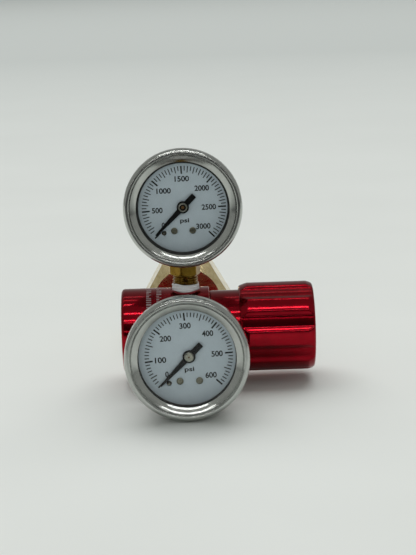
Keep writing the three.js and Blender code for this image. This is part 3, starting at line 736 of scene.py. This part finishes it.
def knob_radius(section, along):
    """The fluted section where it is cut down by the cones and rounded at the ends."""
    ends = [(along - KNOB_START, *KNOB_ENDS[0]), (KNOB_END - along, *KNOB_ENDS[1])]
    cone = min(face + distance * (KNOB_RADIUS + 0.2 - face) / length for distance, face, length, _ in ends)
    radius = smooth_min(section, np.full_like(section, cone), 0.12)
    for distance, _, _, rounding in ends:
        if distance < rounding:
            radius = radius - (rounding - math.sqrt(rounding**2 - (rounding - distance)**2))
    return radius


def knob_stations(length, rounding):
    """Distances from an end of the knob, close together over its rounding and its cone."""
    near = rounding * (1 - np.cos(np.linspace(0, math.pi / 2, 7)))
    return np.array([*near, *np.arange(rounding + 0.1, length + 0.3, 0.1)])


def adjusting_knob():
    """A fluted knob, coned off at both ends, with a slightly dished end face and a stepped bore."""
    turn = circle(KNOB_FLUTES * 40)
    section = fluted(turn)
    (_, left_cone, left_round), (right_face, right_cone, right_round) = KNOB_ENDS
    places = [
        *(KNOB_START + knob_stations(left_cone, left_round)),
        *np.linspace(KNOB_START + left_cone + 0.5, KNOB_END - right_cone - 0.5, 12),
        *(KNOB_END - knob_stations(right_cone, right_round)[::-1]),
    ]
    skirt, bore, ledge = BONNET_RADIUS + GAP, BONNET_THREAD_RADIUS + GAP, BONNET_SHOULDER + 10
    dish_radius, dish_floor = right_face - 2.4, KNOB_END - 0.15
    sections = [
        (0, KNOB_CEILING), (bore, KNOB_CEILING), (bore, ledge), (skirt, ledge),
        (skirt, KNOB_START + 0.3), (skirt + 0.3, KNOB_START),
        *((knob_radius(section, place), place) for place in places),
        (dish_radius + 0.2, KNOB_END), (dish_radius, dish_floor), (0, dish_floor),
    ]
    piece("knob_shell", swept("x", sections, turn), "knob_red", "adjusting_knob", "knob", sharp=40)


# ---------------------------------------------------------------- springs

def coil_spring(name, node, radius, wire, turns=5):
    """A wire helix in place of the CAD's coarse one."""
    start, end = extent(node, X)
    travel = end - start - 2 * wire
    rise = travel / (turns * 2 * math.pi * radius)
    rings = []
    for share in np.linspace(0, 1, turns * 40 + 1):
        angle = share * turns * 2 * math.pi
        outward = np.array([0, -math.cos(angle), math.sin(angle)])
        ahead = np.array([rise, math.sin(angle), math.cos(angle)])
        side = np.cross(ahead / np.linalg.norm(ahead), outward)
        centre = np.array([start + wire + share * travel, 0, 0]) + outward * radius
        rings.append([centre + wire * (math.cos(t) * outward + math.sin(t) * side) for t in circle(14)])
    spring = piece(name, capped(rings), "spring_steel", node, sharp=60)
    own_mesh(spring)


# ---------------------------------------------------------------- inlet

NIPPLE_RADIUS = 6.35
NIPPLE_HEAD_RADIUS = 9.4
NIPPLE_HEAD_START = NIPPLE_END - 5


def inlet_nipple():
    """A tube screwed into the body, with the head that the nut pulls on."""
    root, bore, filter_bore = 6.6, 2, 3
    shape = lathe("y", [
        (bore, NIPPLE_START, 0.3), (root, NIPPLE_START, 0.6), (root, BODY_RADIUS + 3, 0.2),
        (NIPPLE_RADIUS, BODY_RADIUS + 3.5, 0.3), (NIPPLE_RADIUS, NIPPLE_HEAD_START - 1, 0.5),
        (NIPPLE_HEAD_RADIUS, NIPPLE_HEAD_START, 0.3), (NIPPLE_HEAD_RADIUS, NIPPLE_END, 0.5),
        (filter_bore, NIPPLE_END, 0.3), (filter_bore, NIPPLE_HEAD_START - GAP, 0.1),
        (bore, NIPPLE_HEAD_START - GAP, 0.1),
    ], 128)
    piece("nipple", shape, "brass_y", "inlet_nipple")


def inlet_filter():
    """A sintered plug with a slightly domed face."""
    start, end = extent("inlet_filter", Y)
    profile = [(0, start), (2.7, start, 0.1), (2.7, end - 0.3, 0.2), (1.6, end - 0.07, 1.0), (0, end)]
    shape = lathe("y", profile, 64)
    piece("filter", shape, "bronze", "inlet_filter")


def inlet_washer():
    start, end = extent("inlet_washer", Y)
    shape = tube("y", 4.2, 9.2, start, end, 128, 0.25)
    piece("washer", shape, "nylon", "inlet_washer")


def inlet_nut():
    """A long hexagon nut, coned at both ends, with an internal thread for the cylinder's valve."""
    turn = circle(192)
    corner = NUT_FLATS / math.sqrt(3)
    face_radius, cone_slope = 13.3, math.tan(math.pi / 6)
    hexagon = hexagon_radius(turn, NUT_FLATS, np.pi / 2, 0.3)
    cone_length = (corner - face_radius) * cone_slope

    def outer(along):
        front = face_radius + (along - NUT_START) / cone_slope
        back = (corner + face_radius) / 2 + (NUT_END - along) / cone_slope
        return smooth_min(hexagon, np.full_like(turn, min(front, back)), 0.12)

    places = [NUT_START + value for value in np.linspace(0.0, cone_length + 0.3, 34)]
    places += [NUT_END - value for value in reversed(np.linspace(0.0, cone_length / 2 + 0.3, 18))]
    pitch, root, crest = 1.8, 10.2, 9.3
    hole, shoulder = NIPPLE_RADIUS + 2 * GAP, NIPPLE_HEAD_START - 1 - 2 * GAP
    start, end = NIPPLE_END + 3, NUT_END - 1.2
    sections = [(outer(place), place) for place in places]
    sections.append((root + 1.4, NUT_END))
    sections += [(thread_ring(turn, s, start, end, pitch, root, crest), s)
                 for s in np.arange(end, start, -pitch / 10)]
    sections += [(root, start - 0.1), (root, shoulder), (hole, shoulder), (hole, NUT_START + 0.5),
                 (hole + 0.5, NUT_START)]
    piece("nut", swept("y", sections, turn, closed=True), "brass_y", "inlet_nut", "inlet_nut", sharp=40)


# ---------------------------------------------------------------- gauge stems and tape

STEM = {"tip": 8.6, "radius": 4.5, "bore": 1.2, "hex": 20.4, "flats": 10.0, "neck": 4.2, "pitch": 0.94}
TAPE_START, TAPE_END, TAPE_RADIUS = 13.0, 17.1, 5.05
ROOT_BLOCK = {"half_width": 3.5, "top": -10.0, "bottom": -16.1}


def stem(hex_end, neck_end, first_flat):
    """A gauge's threaded stem and hexagon, pointing outward along +Z from the body's axis."""
    turn = circle(96)
    tip, bore, neck, hex_start = STEM["tip"], STEM["bore"], STEM["neck"], STEM["hex"]
    crest, root = STEM["radius"] + 0.05, STEM["radius"] - 0.42
    start, end = tip + 0.5, hex_start - 0.35
    hexagon = hexagon_radius(turn, STEM["flats"], first_flat, 0.15)
    chamfer = 0.45
    smallest = STEM["flats"] / math.sqrt(3) - chamfer * 1.4

    def chamfered(place):
        cone = smallest + min(place - hex_start, hex_end - place) * 1.7
        return smooth_min(hexagon, np.full_like(turn, cone), 0.1)

    sections = [(bore, tip), (root, tip), (root, start)]
    sections += [(thread_ring(turn, s, start, end, STEM["pitch"], root, crest), s)
                 for s in np.arange(start, end, STEM["pitch"] / 8)]
    sections.append((root, hex_start))
    sections += [(chamfered(s), s) for s in np.linspace(hex_start, hex_start + chamfer + 0.2, 8)]
    sections += [(chamfered(s), s) for s in np.linspace(hex_end - chamfer - 0.2, hex_end, 8)]
    sections += [(neck + 0.3, hex_end), (neck, hex_end + 0.3), (neck, neck_end), (bore, neck_end)]
    return swept("z", sections, turn, closed=True)


def wound_tape():
    """Thread tape wound round a stem along +Z: its turns overlap in a slanted step."""
    turn = circle(160)
    inner, step_place, tuck_depth = STEM["radius"] + 0.12, 15.5, 0.22
    sections = [(inner, TAPE_START)]
    for place in np.linspace(TAPE_START, TAPE_END, 40):
        slant = place + 0.35 * np.sin(turn + 0.9)
        overlap = 0.10 / (1 + np.exp((slant - step_place) * 14))
        thread_through = 0.05 * np.sin(2 * np.pi * (place / STEM["pitch"] - turn / (2 * np.pi)))
        crumple = 0.03 * np.sin(3 * turn + 2.2 * place) + 0.02 * np.sin(7 * turn - 3.1 * place)
        tuck = tuck_depth * math.exp(-min(place - TAPE_START, TAPE_END - place) / 0.12)
        radius = TAPE_RADIUS - 0.14 + overlap + thread_through + crumple - tuck
        wavy = 0.22 * np.sin(turn * 2 + 0.5) + 0.1 * np.sin(turn * 5)
        sections.append((radius, place + wavy * max(0, (place - step_place) / (TAPE_END - step_place))))
    sections.append((inner, TAPE_END - 0.15))
    return swept("z", sections, turn, closed=True)


def upright_to_front(shape):
    """What stands along +Z laid along -Y."""
    return turned_to(shape, "X", math.pi / 2)


def gauge_sockets():
    """Each gauge's stem, with the block at its root that carries the Bourdon tube."""
    half, bottom, top = (ROOT_BLOCK[key] for key in ("half_width", "bottom", "top"))
    hex_end = TOP_HEIGHT - BEZEL_RADIUS - GAP
    upper = join(
        stem(hex_end, TOP_HEIGHT + bottom + 0.4, math.radians(-77)),
        box((-half, -8, TOP_HEIGHT + bottom), (half, 4, TOP_HEIGHT + top)),
    )
    piece("top_socket", upper, "brass_z", f"{TOP}_socket")
    block_front, arm_front, arm_back = (depth - FRONT_REACH for depth in (13, 16.5, 20.5))
    lower = join(
        upright_to_front(stem(STEM["hex"] + 6.4, -arm_back + 0.5, math.radians(90))),
        box((-half, arm_front, bottom), (half, arm_back, STEM["neck"])),
        box((-half, block_front, bottom), (half, arm_front + 0.3, top)),
    )
    piece("front_socket", lower, "brass_front", f"{FRONT}_socket")


def gauge_tapes():
    piece("top_tape", wound_tape(), f"{TOP}_tape", f"{TOP}_tape", sharp=70)
    piece("front_tape", upright_to_front(wound_tape()), f"{FRONT}_tape", f"{FRONT}_tape", sharp=70)


# ---------------------------------------------------------------- gauges, in their own datum

POINTER_REST = 225.0  # degrees from +X towards +Z
DIAL_BACK = DIAL_FRONT + 0.5
FASTENER_END = DIAL_FRONT + 1.9  # just in front of the movement's plate
HUB_FRONT = DIAL_FRONT - 2.3
HUB_MOUTH = {TOP: 1.15, FRONT: 0.3}  # radius of the hole in each pointer's hub
SCREW_PLACES = ((-3.3, -8.5), (3.3, -8.5))
STOP_PLACE = (-7.0, -9.2)


def bulged(start, end, rise, count=9):
    """Points along a shallow arc between two profile points, rising to the left of the way it runs."""
    start, end = np.array(start), np.array(end)
    chord = end - start
    left = np.array([chord[1], -chord[0]]) / np.linalg.norm(chord)
    shares = np.linspace(0, 1, count)
    return [tuple(start + share * chord + 4 * rise * share * (1 - share) * left) for share in shares]


def bezel(gauge):
    """A rolled rim: a shallow crowned cone inside, a narrow step and a round lip outside."""
    cone = bulged((SIGHT_RADIUS, 2.25), (18.75, 0.95), 0.08)
    recess = CASE_RADIUS + GAP
    shape = lathe("y", [
        (SIGHT_RADIUS, 2.7, 0.05), *cone, (18.95, 1.05, 0.05), (19.15, 0.42, 0.12),
        (19.5, 0.06, 0.3), (20.3, 0.03, 0.7), (21.0, 0.75, 0.7), (BEZEL_RADIUS, 2.1, 0.8),
        (BEZEL_RADIUS, BEZEL_DEPTH - 0.2, 0.9), (20.3, BEZEL_DEPTH, 0.2), (recess, BEZEL_DEPTH, 0.1),
        (recess, 2.7, 0.1),
    ], 256)
    piece(f"{gauge}_rim", shape, f"{gauge}_bezel", f"{gauge}_bezel", at=GAUGE_DATUM[gauge])


def gauge_case(gauge):
    """A drawn cup. The front gauge's stem leaves through its back, the top one's through its side."""
    wall, rim, taper, back_radius = 0.8, 5.8, 13.0, 17.4
    inner, floor = CASE_RADIUS - wall, CASE_DEPTH - wall
    hole = STEM["neck"] + GAP
    side = [
        (back_radius, CASE_DEPTH, 1.3), (CASE_RADIUS, taper, 2.0), (CASE_RADIUS, rim, 0.2),
        (inner, rim, 0.2), (inner, taper, 2.0), (back_radius - wall, floor, 0.8),
    ]
    if gauge == TOP:
        profile = [(0, CASE_DEPTH), *side, (0, floor)]
        cutters = [rod("z", hole, -CASE_RADIUS - 1, -CASE_RADIUS + 5, 64, (0, TOP_STEM_DEPTH, 0))]
    else:
        profile = [(hole, CASE_DEPTH, 0.2), *side, (hole, floor, 0.1)]
        cutters = []
    piece(f"{gauge}_cup", lathe("y", profile, 192), f"{gauge}_steel", f"{gauge}_case",
          at=GAUGE_DATUM[gauge], cutters=cutters)


def window_and_gasket(gauge):
    radius = CASE_RADIUS - GAP
    at = GAUGE_DATUM[gauge]
    window = lathe("y", [(0, 3), (radius, 3, 0.25), (radius, 4.4, 0.25), (0, 4.4)], 128)
    piece(f"{gauge}_lens", window, "glass", f"{gauge}_window", at=at)
    lip = SIGHT_RADIUS - (0.75 if gauge == TOP else 0.25)
    gasket = lathe("y", [(lip, 4.7, 0.2), (radius, 4.7, 0.1), (radius, 5.5, 0.1), (lip, 5.5, 0.2)], 192)
    piece(f"{gauge}_seal", gasket, "rubber", f"{gauge}_gasket", at=at)


def dial(gauge):
    """The dial's plate, with holes for its centre, its screws and the stop pin."""
    hole = 0.9
    shape = lathe("y", [(hole, DIAL_FRONT, 0.05), (DIAL_RADIUS, DIAL_FRONT, 0.05),
                        (DIAL_RADIUS, DIAL_BACK, 0.1), (hole, DIAL_BACK, 0.05)], 192)
    cutters = [rod("y", hole, DIAL_FRONT - 1, DIAL_FRONT + 2, 24, (x, 0, z))
               for x, z in (*SCREW_PLACES, STOP_PLACE)]
    piece(f"{gauge}_face", shape, "enamel", f"{gauge}_dial", at=shifted(gauge), cutters=cutters)


# Print stands a little proud of the dial; a font's outline is grown to match the dials' bold print
PRINT_LIFT, PRINT_THICKNESS = 0.01, 0.03
FONT_GROWTH = 0.026


def letters(text, width, height, centre, tilt):
    """Printed characters as thin solids on the dial, fitted to a width and height."""
    curve = bpy.data.curves.new("letters", "FONT")
    curve.body = text
    curve.resolution_u = 6
    curve.extrude = 0.02
    curve.offset = FONT_GROWTH
    holder = linked("letters", curve)
    graph = bpy.context.evaluated_depsgraph_get()
    mesh = bpy.data.meshes.new_from_object(holder.evaluated_get(graph))
    points = np.array([vertex.co for vertex in mesh.vertices])
    faces = [tuple(face.vertices) for face in mesh.polygons]
    bpy.data.objects.remove(holder)
    bpy.data.curves.remove(curve)
    bpy.data.meshes.remove(mesh)
    low, high = points.min(0), points.max(0)
    across, up, out = ((points - low) / (high - low)).T
    u, v = (across - 0.5) * width, (up - 0.5) * height
    c, s = math.cos(math.radians(tilt)), math.sin(math.radians(tilt))
    x, z = centre[0] + u * c - v * s, centre[1] + u * s + v * c
    return np.stack([x, DIAL_FRONT - PRINT_LIFT - out * PRINT_THICKNESS, z], -1), faces


def tick(inner, outer, angle, width, centre):
    """One printed scale mark between two radii."""
    direction = np.array(polar(1, angle))
    side = np.array(polar(1, angle + 90)) * width / 2
    ends = [direction * inner, direction * outer]
    outline = [ends[0] - side, ends[1] - side, ends[1] + side, ends[0] + side] + np.asarray(centre)
    return slab(outline, DIAL_FRONT - PRINT_LIFT - PRINT_THICKNESS, DIAL_FRONT + 0.02)


# Each dial's print: the step between its numbers, its centre's offset, the middle number's angle, how
# far its writing leans, the radii of its marks (outer ends, and inner ends of major, long and short
# ones), and which of the nine minor marks are long
DIAL_PRINT = {
    TOP: {"step": 500, "centre": (0.4, -0.35), "middle": 92.3, "tilt": 0.8, "outer": 15.1,
          "inner": 12.25, "long": 12.75, "short": 13.4, "long_at": (2, 4, 6, 8)},
    FRONT: {"step": 100, "centre": (-0.1, 0.0), "middle": 94.9, "tilt": 2.4, "outer": 15.0,
            "inner": 12.3, "long": 12.6, "short": 13.45, "long_at": (5,)},
}
LAST_MAJOR = 6
MARK_STEP = 45.8  # degrees between numbers
FIRST_MINOR = 3  # the marks just above zero are missing on both dials
MAJOR_WIDTH, MINOR_WIDTH = 0.55, 0.34
ZERO_PLACE = polar(9.7, POINTER_REST - 6.3)
DIGIT_WIDTH, DIGIT_HEIGHT = 1.2, 2.0


def dial_print(gauge):
    """Scale marks, plain numbers and the unit, printed on the dial."""
    style = DIAL_PRINT[gauge]
    centre, at = style["centre"], shifted(gauge)
    full = style["middle"] - 3 * MARK_STEP
    bold, fine = [], []
    for major in range(LAST_MAJOR + 1):
        angle = full + (LAST_MAJOR - major) * MARK_STEP if major else POINTER_REST
        bold.append(tick(style["inner"], style["outer"], angle, MAJOR_WIDTH, centre))
        for minor in range(1 if major else FIRST_MINOR, 10 if major < LAST_MAJOR else 0):
            inner = style["long"] if minor in style["long_at"] else style["short"]
            place = full + (LAST_MAJOR - major - minor / 10) * MARK_STEP
            fine.append(tick(inner, style["outer"], place, MINOR_WIDTH, centre))
        text = str(major * style["step"])
        width = DIGIT_WIDTH * len(text) + 0.12 * (len(text) - 1)
        lean = math.radians(angle)
        reach = math.hypot(width / 2 * math.cos(lean), DIGIT_HEIGHT / 2 * math.sin(lean))
        place = polar(style["inner"] - 0.75 - reach, angle) if major else ZERO_PLACE
        bold.append(letters(text, width, DIGIT_HEIGHT, np.add(place, centre), style["tilt"]))
    bold.append(letters("psi", 3.3, 2.0, np.add((0.1, -4.75), centre), style["tilt"]))
    piece(f"{gauge}_numbers", join(*bold), "ink", at=at)
    piece(f"{gauge}_scale", join(*fine), "fine_ink", at=at)


def dial_screws(gauge):
    """Two cross-slotted screws that hold the dial."""
    top, under = DIAL_FRONT - 0.8, DIAL_FRONT - 0.25
    head_radius, shank_radius = 1.2, 0.6
    profile = [
        (0, top), (0.9, top + 0.02, 0.3), (head_radius, top + 0.22, 0.15), (head_radius, under, 0.05),
        (shank_radius, under), (shank_radius, FASTENER_END, 0.1), (0, FASTENER_END),
    ]
    bar = box((-0.8, top - 1, -0.19), (0.8, top + 0.35, 0.19), 0.01)
    for side, turn, (x, z) in zip(("left", "right"), (0.3, 1.0), SCREW_PLACES):
        slots = [moved(turned_to(bar, "Y", angle), (x, 0, z)) for angle in (turn, turn + math.pi / 2)]
        piece(f"{gauge}_screw_{side}", lathe("y", profile, 48, (x, 0, z)), f"{gauge}_screw",
              f"{gauge}_dial_screw_{side}", at=shifted(gauge), cutters=slots)


def stop_pin(gauge):
    radius, front, (x, z) = 0.45, DIAL_FRONT - 1.4, STOP_PLACE
    pin = lathe("y", [(0, front), (radius, front, 0.25), (radius, FASTENER_END, 0.1), (0, FASTENER_END)],
                32, (x, 0, z))
    piece(f"{gauge}_pin", pin, f"{gauge}_screw", f"{gauge}_stop_pin", at=shifted(gauge))


def pointer_body(gauge):
    return f"{gauge.split('_')[0]}_pointer"


def pointer(gauge):
    """A tapered blade with a short wide tail, on a round disc."""
    direction, side = np.array(polar(1, POINTER_REST)), np.array(polar(1, POINTER_REST + 90))
    lower = [(-5.9, -1.0), (-1.5, -1.05), (0, -1.1), (1.5, -1.0), (14.0, -0.33)]
    upper = [(along, -across) for along, across in reversed(lower)]
    outline = [direction * along + side * across for along, across in (*lower, (14.1, 0.0), *upper)]
    blade = slab(outline, DIAL_FRONT - 1.25, DIAL_FRONT - 0.85, 0.08)
    hole, radius, front, back = 0.9, 2.2, DIAL_FRONT - 1.4, DIAL_FRONT - 0.6
    disc = lathe("y", [(hole, front, 0.05), (radius, front, 0.2), (radius, back, 0.2),
                       (hole, back, 0.05)], 96)
    piece(f"{gauge}_needle", join(blade, disc), "pointer", f"{gauge}_pointer", pointer_body(gauge),
          at=shifted(gauge))


def hub(gauge):
    """The steel bush at the pointer's centre, its hole stepped where its mouth is narrow."""
    mouth, bore, step, back = HUB_MOUTH[gauge], 0.62, HUB_FRONT + 0.28, HUB_FRONT + 0.6
    hole = [(bore, back), (bore, step), (mouth, step)] if mouth < bore else [(mouth, back)]
    bush = lathe("y", [(mouth, HUB_FRONT, 0.06), (1.35, HUB_FRONT + 0.02, 0.15),
                       (1.65, HUB_FRONT + 0.3, 0.15), (1.65, back, 0.05), *hole], 64)
    piece(f"{gauge}_hub", bush, f"{gauge}_hub", body=pointer_body(gauge), at=shifted(gauge))


def pinion_staff(gauge):
    """The shaft behind the pointer, with the pinion that the sector gear turns."""
    tooth = [(-0.21, -0.24), (-0.1, 0.17), (0.1, 0.17), (0.21, -0.24)]  # share of a pitch, height
    teeth, pitch_radius, first_tooth, front = 10, 1.1, -22, DIAL_FRONT + 4.1
    outline = [polar(pitch_radius + height, first_tooth + (i + share) * 360 / teeth)
               for i in range(teeth) for share, height in tooth]
    pinion = slab(outline, front, front + 1.2)
    radius, end = 0.6, DIAL_FRONT + 7.5
    shaft = lathe("y", [(0, HUB_FRONT + 0.35), (0.3, HUB_FRONT + 0.3, 0.1), (radius, HUB_FRONT + 0.4, 0.1),
                        (radius, end, 0.1), (0, end)], 32)
    piece(f"{gauge}_staff", join(shaft, pinion), "staff", f"{gauge}_pinion_staff", pointer_body(gauge),
          at=shifted(gauge))


# ---------------------------------------------------------------- CAD nodes that keep their own mesh

def finish_hidden_nodes():
    """Materials for the inner pieces that keep their CAD mesh, whose shape is right."""
    kept = {
        "end_plug_oring": "rubber", "piston_oring": "rubber", "poppet_seal": "nylon",
        "poppet": "brass_x", "valve_seat": "brass_x", "spring_seat": "brass_x", "piston": "plain_steel",
    }
    for gauge in (TOP, FRONT):
        for part in ("movement_frame", "sector_gear", "link"):
            kept[f"{gauge}_{part}"] = f"{gauge}_brass"
        kept[f"{gauge}_bourdon_tube"] = "bronze"
    for node, look in kept.items():
        mesh = frame["nodes"][node].data
        mesh.materials.clear()
        mesh.materials.append(LOOKS[look][1])


# ---------------------------------------------------------------- studio

MIDDLE = Vector((-0.01, -0.02, 0.03))
# The dim room's brightness by elevation in degrees: 0 is in front, 90 overhead and 180 behind
ROOM_SHADES = (
    (0, 0.02), (15, 0.05), (27, 0.10), (48, 0.34), (75, 0.33), (110, 0.28), (150, 0.26), (180, 0.35),
)
# Long lights over the regulator: elevation and width in degrees, and radiance
TUBES = (
    (8.0, 1.2, 4.0), (32.2, 1.4, 3.0), (38.0, 1.4, 11.0), (57.8, 1.3, 14.0), (86.0, 1.3, 9.0),
    (102.0, 2.0, 2.0), (116.0, 1.5, 2.2),
)


def lowest_rest_plane():
    """The surface the regulator stands on: under the front bezel's back edge and the nut's far end."""
    rim = GAUGE_DATUM[FRONT]
    front = Vector((0, rim.y + (BEZEL_DEPTH - 0.6) * MM, rim.z - BEZEL_RADIUS * MM))
    back = Vector((0, DATUM.y + NUT_END * MM, DATUM.z - NUT_FLATS / 2 * MM))
    return front, math.atan2(back.z - front.z, back.y - front.y)


def grid(name, segments, size):
    """A flat square mesh; the size is half its side, as bmesh counts it."""
    mesh = bpy.data.meshes.new(name)
    work = bmesh.new()
    bmesh.ops.create_grid(work, x_segments=segments, y_segments=segments, size=size)
    work.to_mesh(mesh)
    work.free()
    return linked(name, mesh)


def floor():
    """Pale paper with painted shade: its colour turns a little darker a long way behind the regulator,
    standing in for the light falling off there.
    """
    place, slope = lowest_rest_plane()
    below = 0.0002
    obj = grid("floor", 4, 12.0)
    obj.location = place - Vector((0, 0, below))
    obj.rotation_euler = (slope, 0, 0)
    s = Surface("floor_paper_with_painted_falloff", Vector((0, 0, 0)))
    cloud = s.noise(120.0, 2.0)
    grain = s.noise(0.6, 3.0)
    depth = s.node("ShaderNodeSeparateXYZ", i0=s.local()).outputs[1]
    near = s.colours(cloud, (0.77, 0.79, 0.765), (0.79, 0.81, 0.785))
    # Painted shade: the colour darkens from 100 mm to 1900 mm behind the regulator
    paper = s.blend(s.between(depth, 0.0, 1.0, 100.0, 1900.0), near, (0.53, 0.555, 0.54))
    s.set(color=paper, roughness=s.between(grain, 0.55, 0.7),
          normal=s.bump(grain, 0.05, 0.02), specular=0.0)
    obj.data.materials.append(s.material)


def facing(place, target):
    """The placement of something at a place whose -Z points at a target."""
    direction = Vector(target) - Vector(place)
    return Matrix.Translation(place) @ direction.to_track_quat("-Z", "Y").to_matrix().to_4x4()


def softbox(name, place, target, size, power):
    """A broad light for matt surfaces; metal mirrors the dome instead."""
    data = bpy.data.lights.new(name, "AREA")
    data.shape = "RECTANGLE"
    data.size, data.size_y = size
    data.energy = power
    obj = linked(name, data)
    obj.matrix_world = facing(place, target)
    obj.visible_glossy = False


def overhead(elevation, distance=1.4):
    """A place on an arch over the object, its elevation in degrees from -Y."""
    angle = math.radians(elevation)
    return MIDDLE + Vector((0, -math.cos(angle), math.sin(angle))) * distance


def tube_light(elevation, width, radiance, length=1.3):
    """A long narrow light along X that only metal and gloss mirror; its width is in degrees."""
    data = bpy.data.lights.new(f"tube_{elevation}", "AREA")
    data.shape = "RECTANGLE"
    place = overhead(elevation)
    data.size, data.size_y = length, math.radians(width) * (place - MIDDLE).length
    data.energy = radiance * math.pi * data.size * data.size_y
    obj = linked(data.name, data)
    obj.matrix_world = facing(place, MIDDLE)
    for ray in ("camera", "diffuse", "transmission"):
        setattr(obj, f"visible_{ray}", False)


def dome():
    """The dim room round the studio, seen only in reflections: dark in front, paler overhead."""
    radius, steps = 1.6, 24
    profile = [(radius * math.sin(math.pi * i / steps), -radius * math.cos(math.pi * i / steps))
               for i in range(steps + 1)]
    profile[0], profile[-1] = (0, -radius), (0, radius)
    points, faces = lathe("x", profile, 48)
    mesh = bpy.data.meshes.new("dome")
    mesh.from_pydata((points + np.array(MIDDLE)).tolist(), [], faces)
    obj = linked("dome", mesh)
    s = Surface("dim_room", MIDDLE)
    parts = s.node("ShaderNodeSeparateXYZ", i0=s.local())
    elevation = s.math("ARCTAN2", parts.outputs[2], s.math("MULTIPLY", parts.outputs[1], -1.0))
    ramp = s.node("ShaderNodeValToRGB", i0=s.between(elevation, 0.0, 1.0, 0.0, math.pi))
    for _ in ROOM_SHADES[2:]:
        ramp.color_ramp.elements.new(0.5)
    for element, (degrees, shade) in zip(ramp.color_ramp.elements, ROOM_SHADES):
        element.position = degrees / 180
        element.color = (0.97 * shade, shade, 0.95 * shade, 1)
    sideways = s.between(s.math("ABSOLUTE", parts.outputs[0]), 0.0, 1.0, 500.0, 1100.0)
    shade = s.blend(sideways, ramp.outputs[0], (0.33, 0.34, 0.325))
    glow = s.node("ShaderNodeEmission", Color=shade)
    s.show(glow)
    mesh.materials.append(s.material)
    reflection_only(obj)


def foreground():
    """The paper's front part with painted shade: its colour fades from pale into near black away from the
    regulator. It lies just over the floor, only in reflections.
    """
    start, length, width, height = -0.12, 1.5, 3.2, 0.004
    obj = grid("foreground", 2, 0.5)
    place = Matrix.Translation((0, start - length / 2, height))
    obj.matrix_world = place @ Matrix.Diagonal((width, length, 1, 1))
    s = Surface("paper_with_painted_fade_to_dark", Vector((0, 0, 0)))
    along = s.node("ShaderNodeSeparateXYZ", i0=s.local()).outputs[1]
    away = s.between(along, 1.0, 0.0, -500.0, 500.0)
    # Painted shade: pale paper near the regulator, near black further in front
    s.set(color=s.colours(away, (0.62, 0.64, 0.62), (0.03, 0.03, 0.03), 0.0, 0.22), roughness=0.8)
    obj.data.materials.append(s.material)
    reflection_only(obj)


def reflection_only(obj):
    for ray in ("camera", "diffuse", "shadow", "transmission", "volume_scatter"):
        setattr(obj, f"visible_{ray}", False)


def world():
    """Even light for matt surfaces. Metal and gloss mirror the dome instead."""
    made = bpy.data.worlds.new("studio")
    made.use_nodes = True
    background = made.node_tree.nodes["Background"]
    background.inputs["Color"].default_value = (0.29, 0.303, 0.29, 1)
    bpy.context.scene.world = made
    made.cycles_visibility.glossy = False


def studio():
    world()
    floor()
    softbox("key", (-0.25, 2.4, 5.4), MIDDLE, (7.4, 5.3), 303.0)
    softbox("fill", (-0.3, -2.0, 0.7), MIDDLE, (1.2, 0.8), 4.5)
    dome()
    foreground()
    for elevation, width, radiance in TUBES:
        tube_light(elevation, width, radiance)


def camera():
    """The photograph's camera, as fitted to the regulator's own edges."""
    place = (-0.00741, -0.59948, 0.13455)
    yaw, pitch, roll = math.radians(-0.42), math.radians(-9.15), math.radians(1.84)
    data = bpy.data.cameras.new("camera")
    data.lens = 105.13
    data.sensor_width = 36.0
    data.clip_start, data.clip_end = 0.01, 50
    obj = linked("camera", data)
    turn = Matrix.Rotation(yaw, 4, "Z") @ Matrix.Rotation(pitch, 4, "X") @ Matrix.Rotation(roll, 4, "Y")
    looking_along_y = Matrix.Rotation(math.pi / 2, 4, "X")
    obj.matrix_world = Matrix.Translation(place) @ turn @ looking_along_y
    bpy.context.scene.camera = obj
    bpy.context.scene.view_settings.view_transform = "Standard"


# ---------------------------------------------------------------- making it all

regulator_body()
body_marks()
end_plug()
bonnet()
adjusting_knob()
coil_spring("range_coil", "range_spring", radius=7.3, wire=1.1)
coil_spring("poppet_coil", "poppet_spring", radius=2.9, wire=0.35)
inlet_nipple()
inlet_filter()
inlet_washer()
inlet_nut()
gauge_sockets()
gauge_tapes()
for gauge in (TOP, FRONT):
    bezel(gauge)
    gauge_case(gauge)
    window_and_gasket(gauge)
    dial(gauge)
    dial_print(gauge)
    dial_screws(gauge)
    stop_pin(gauge)
    pointer(gauge)
    hub(gauge)
    pinion_staff(gauge)
finish_hidden_nodes()
studio()
camera()
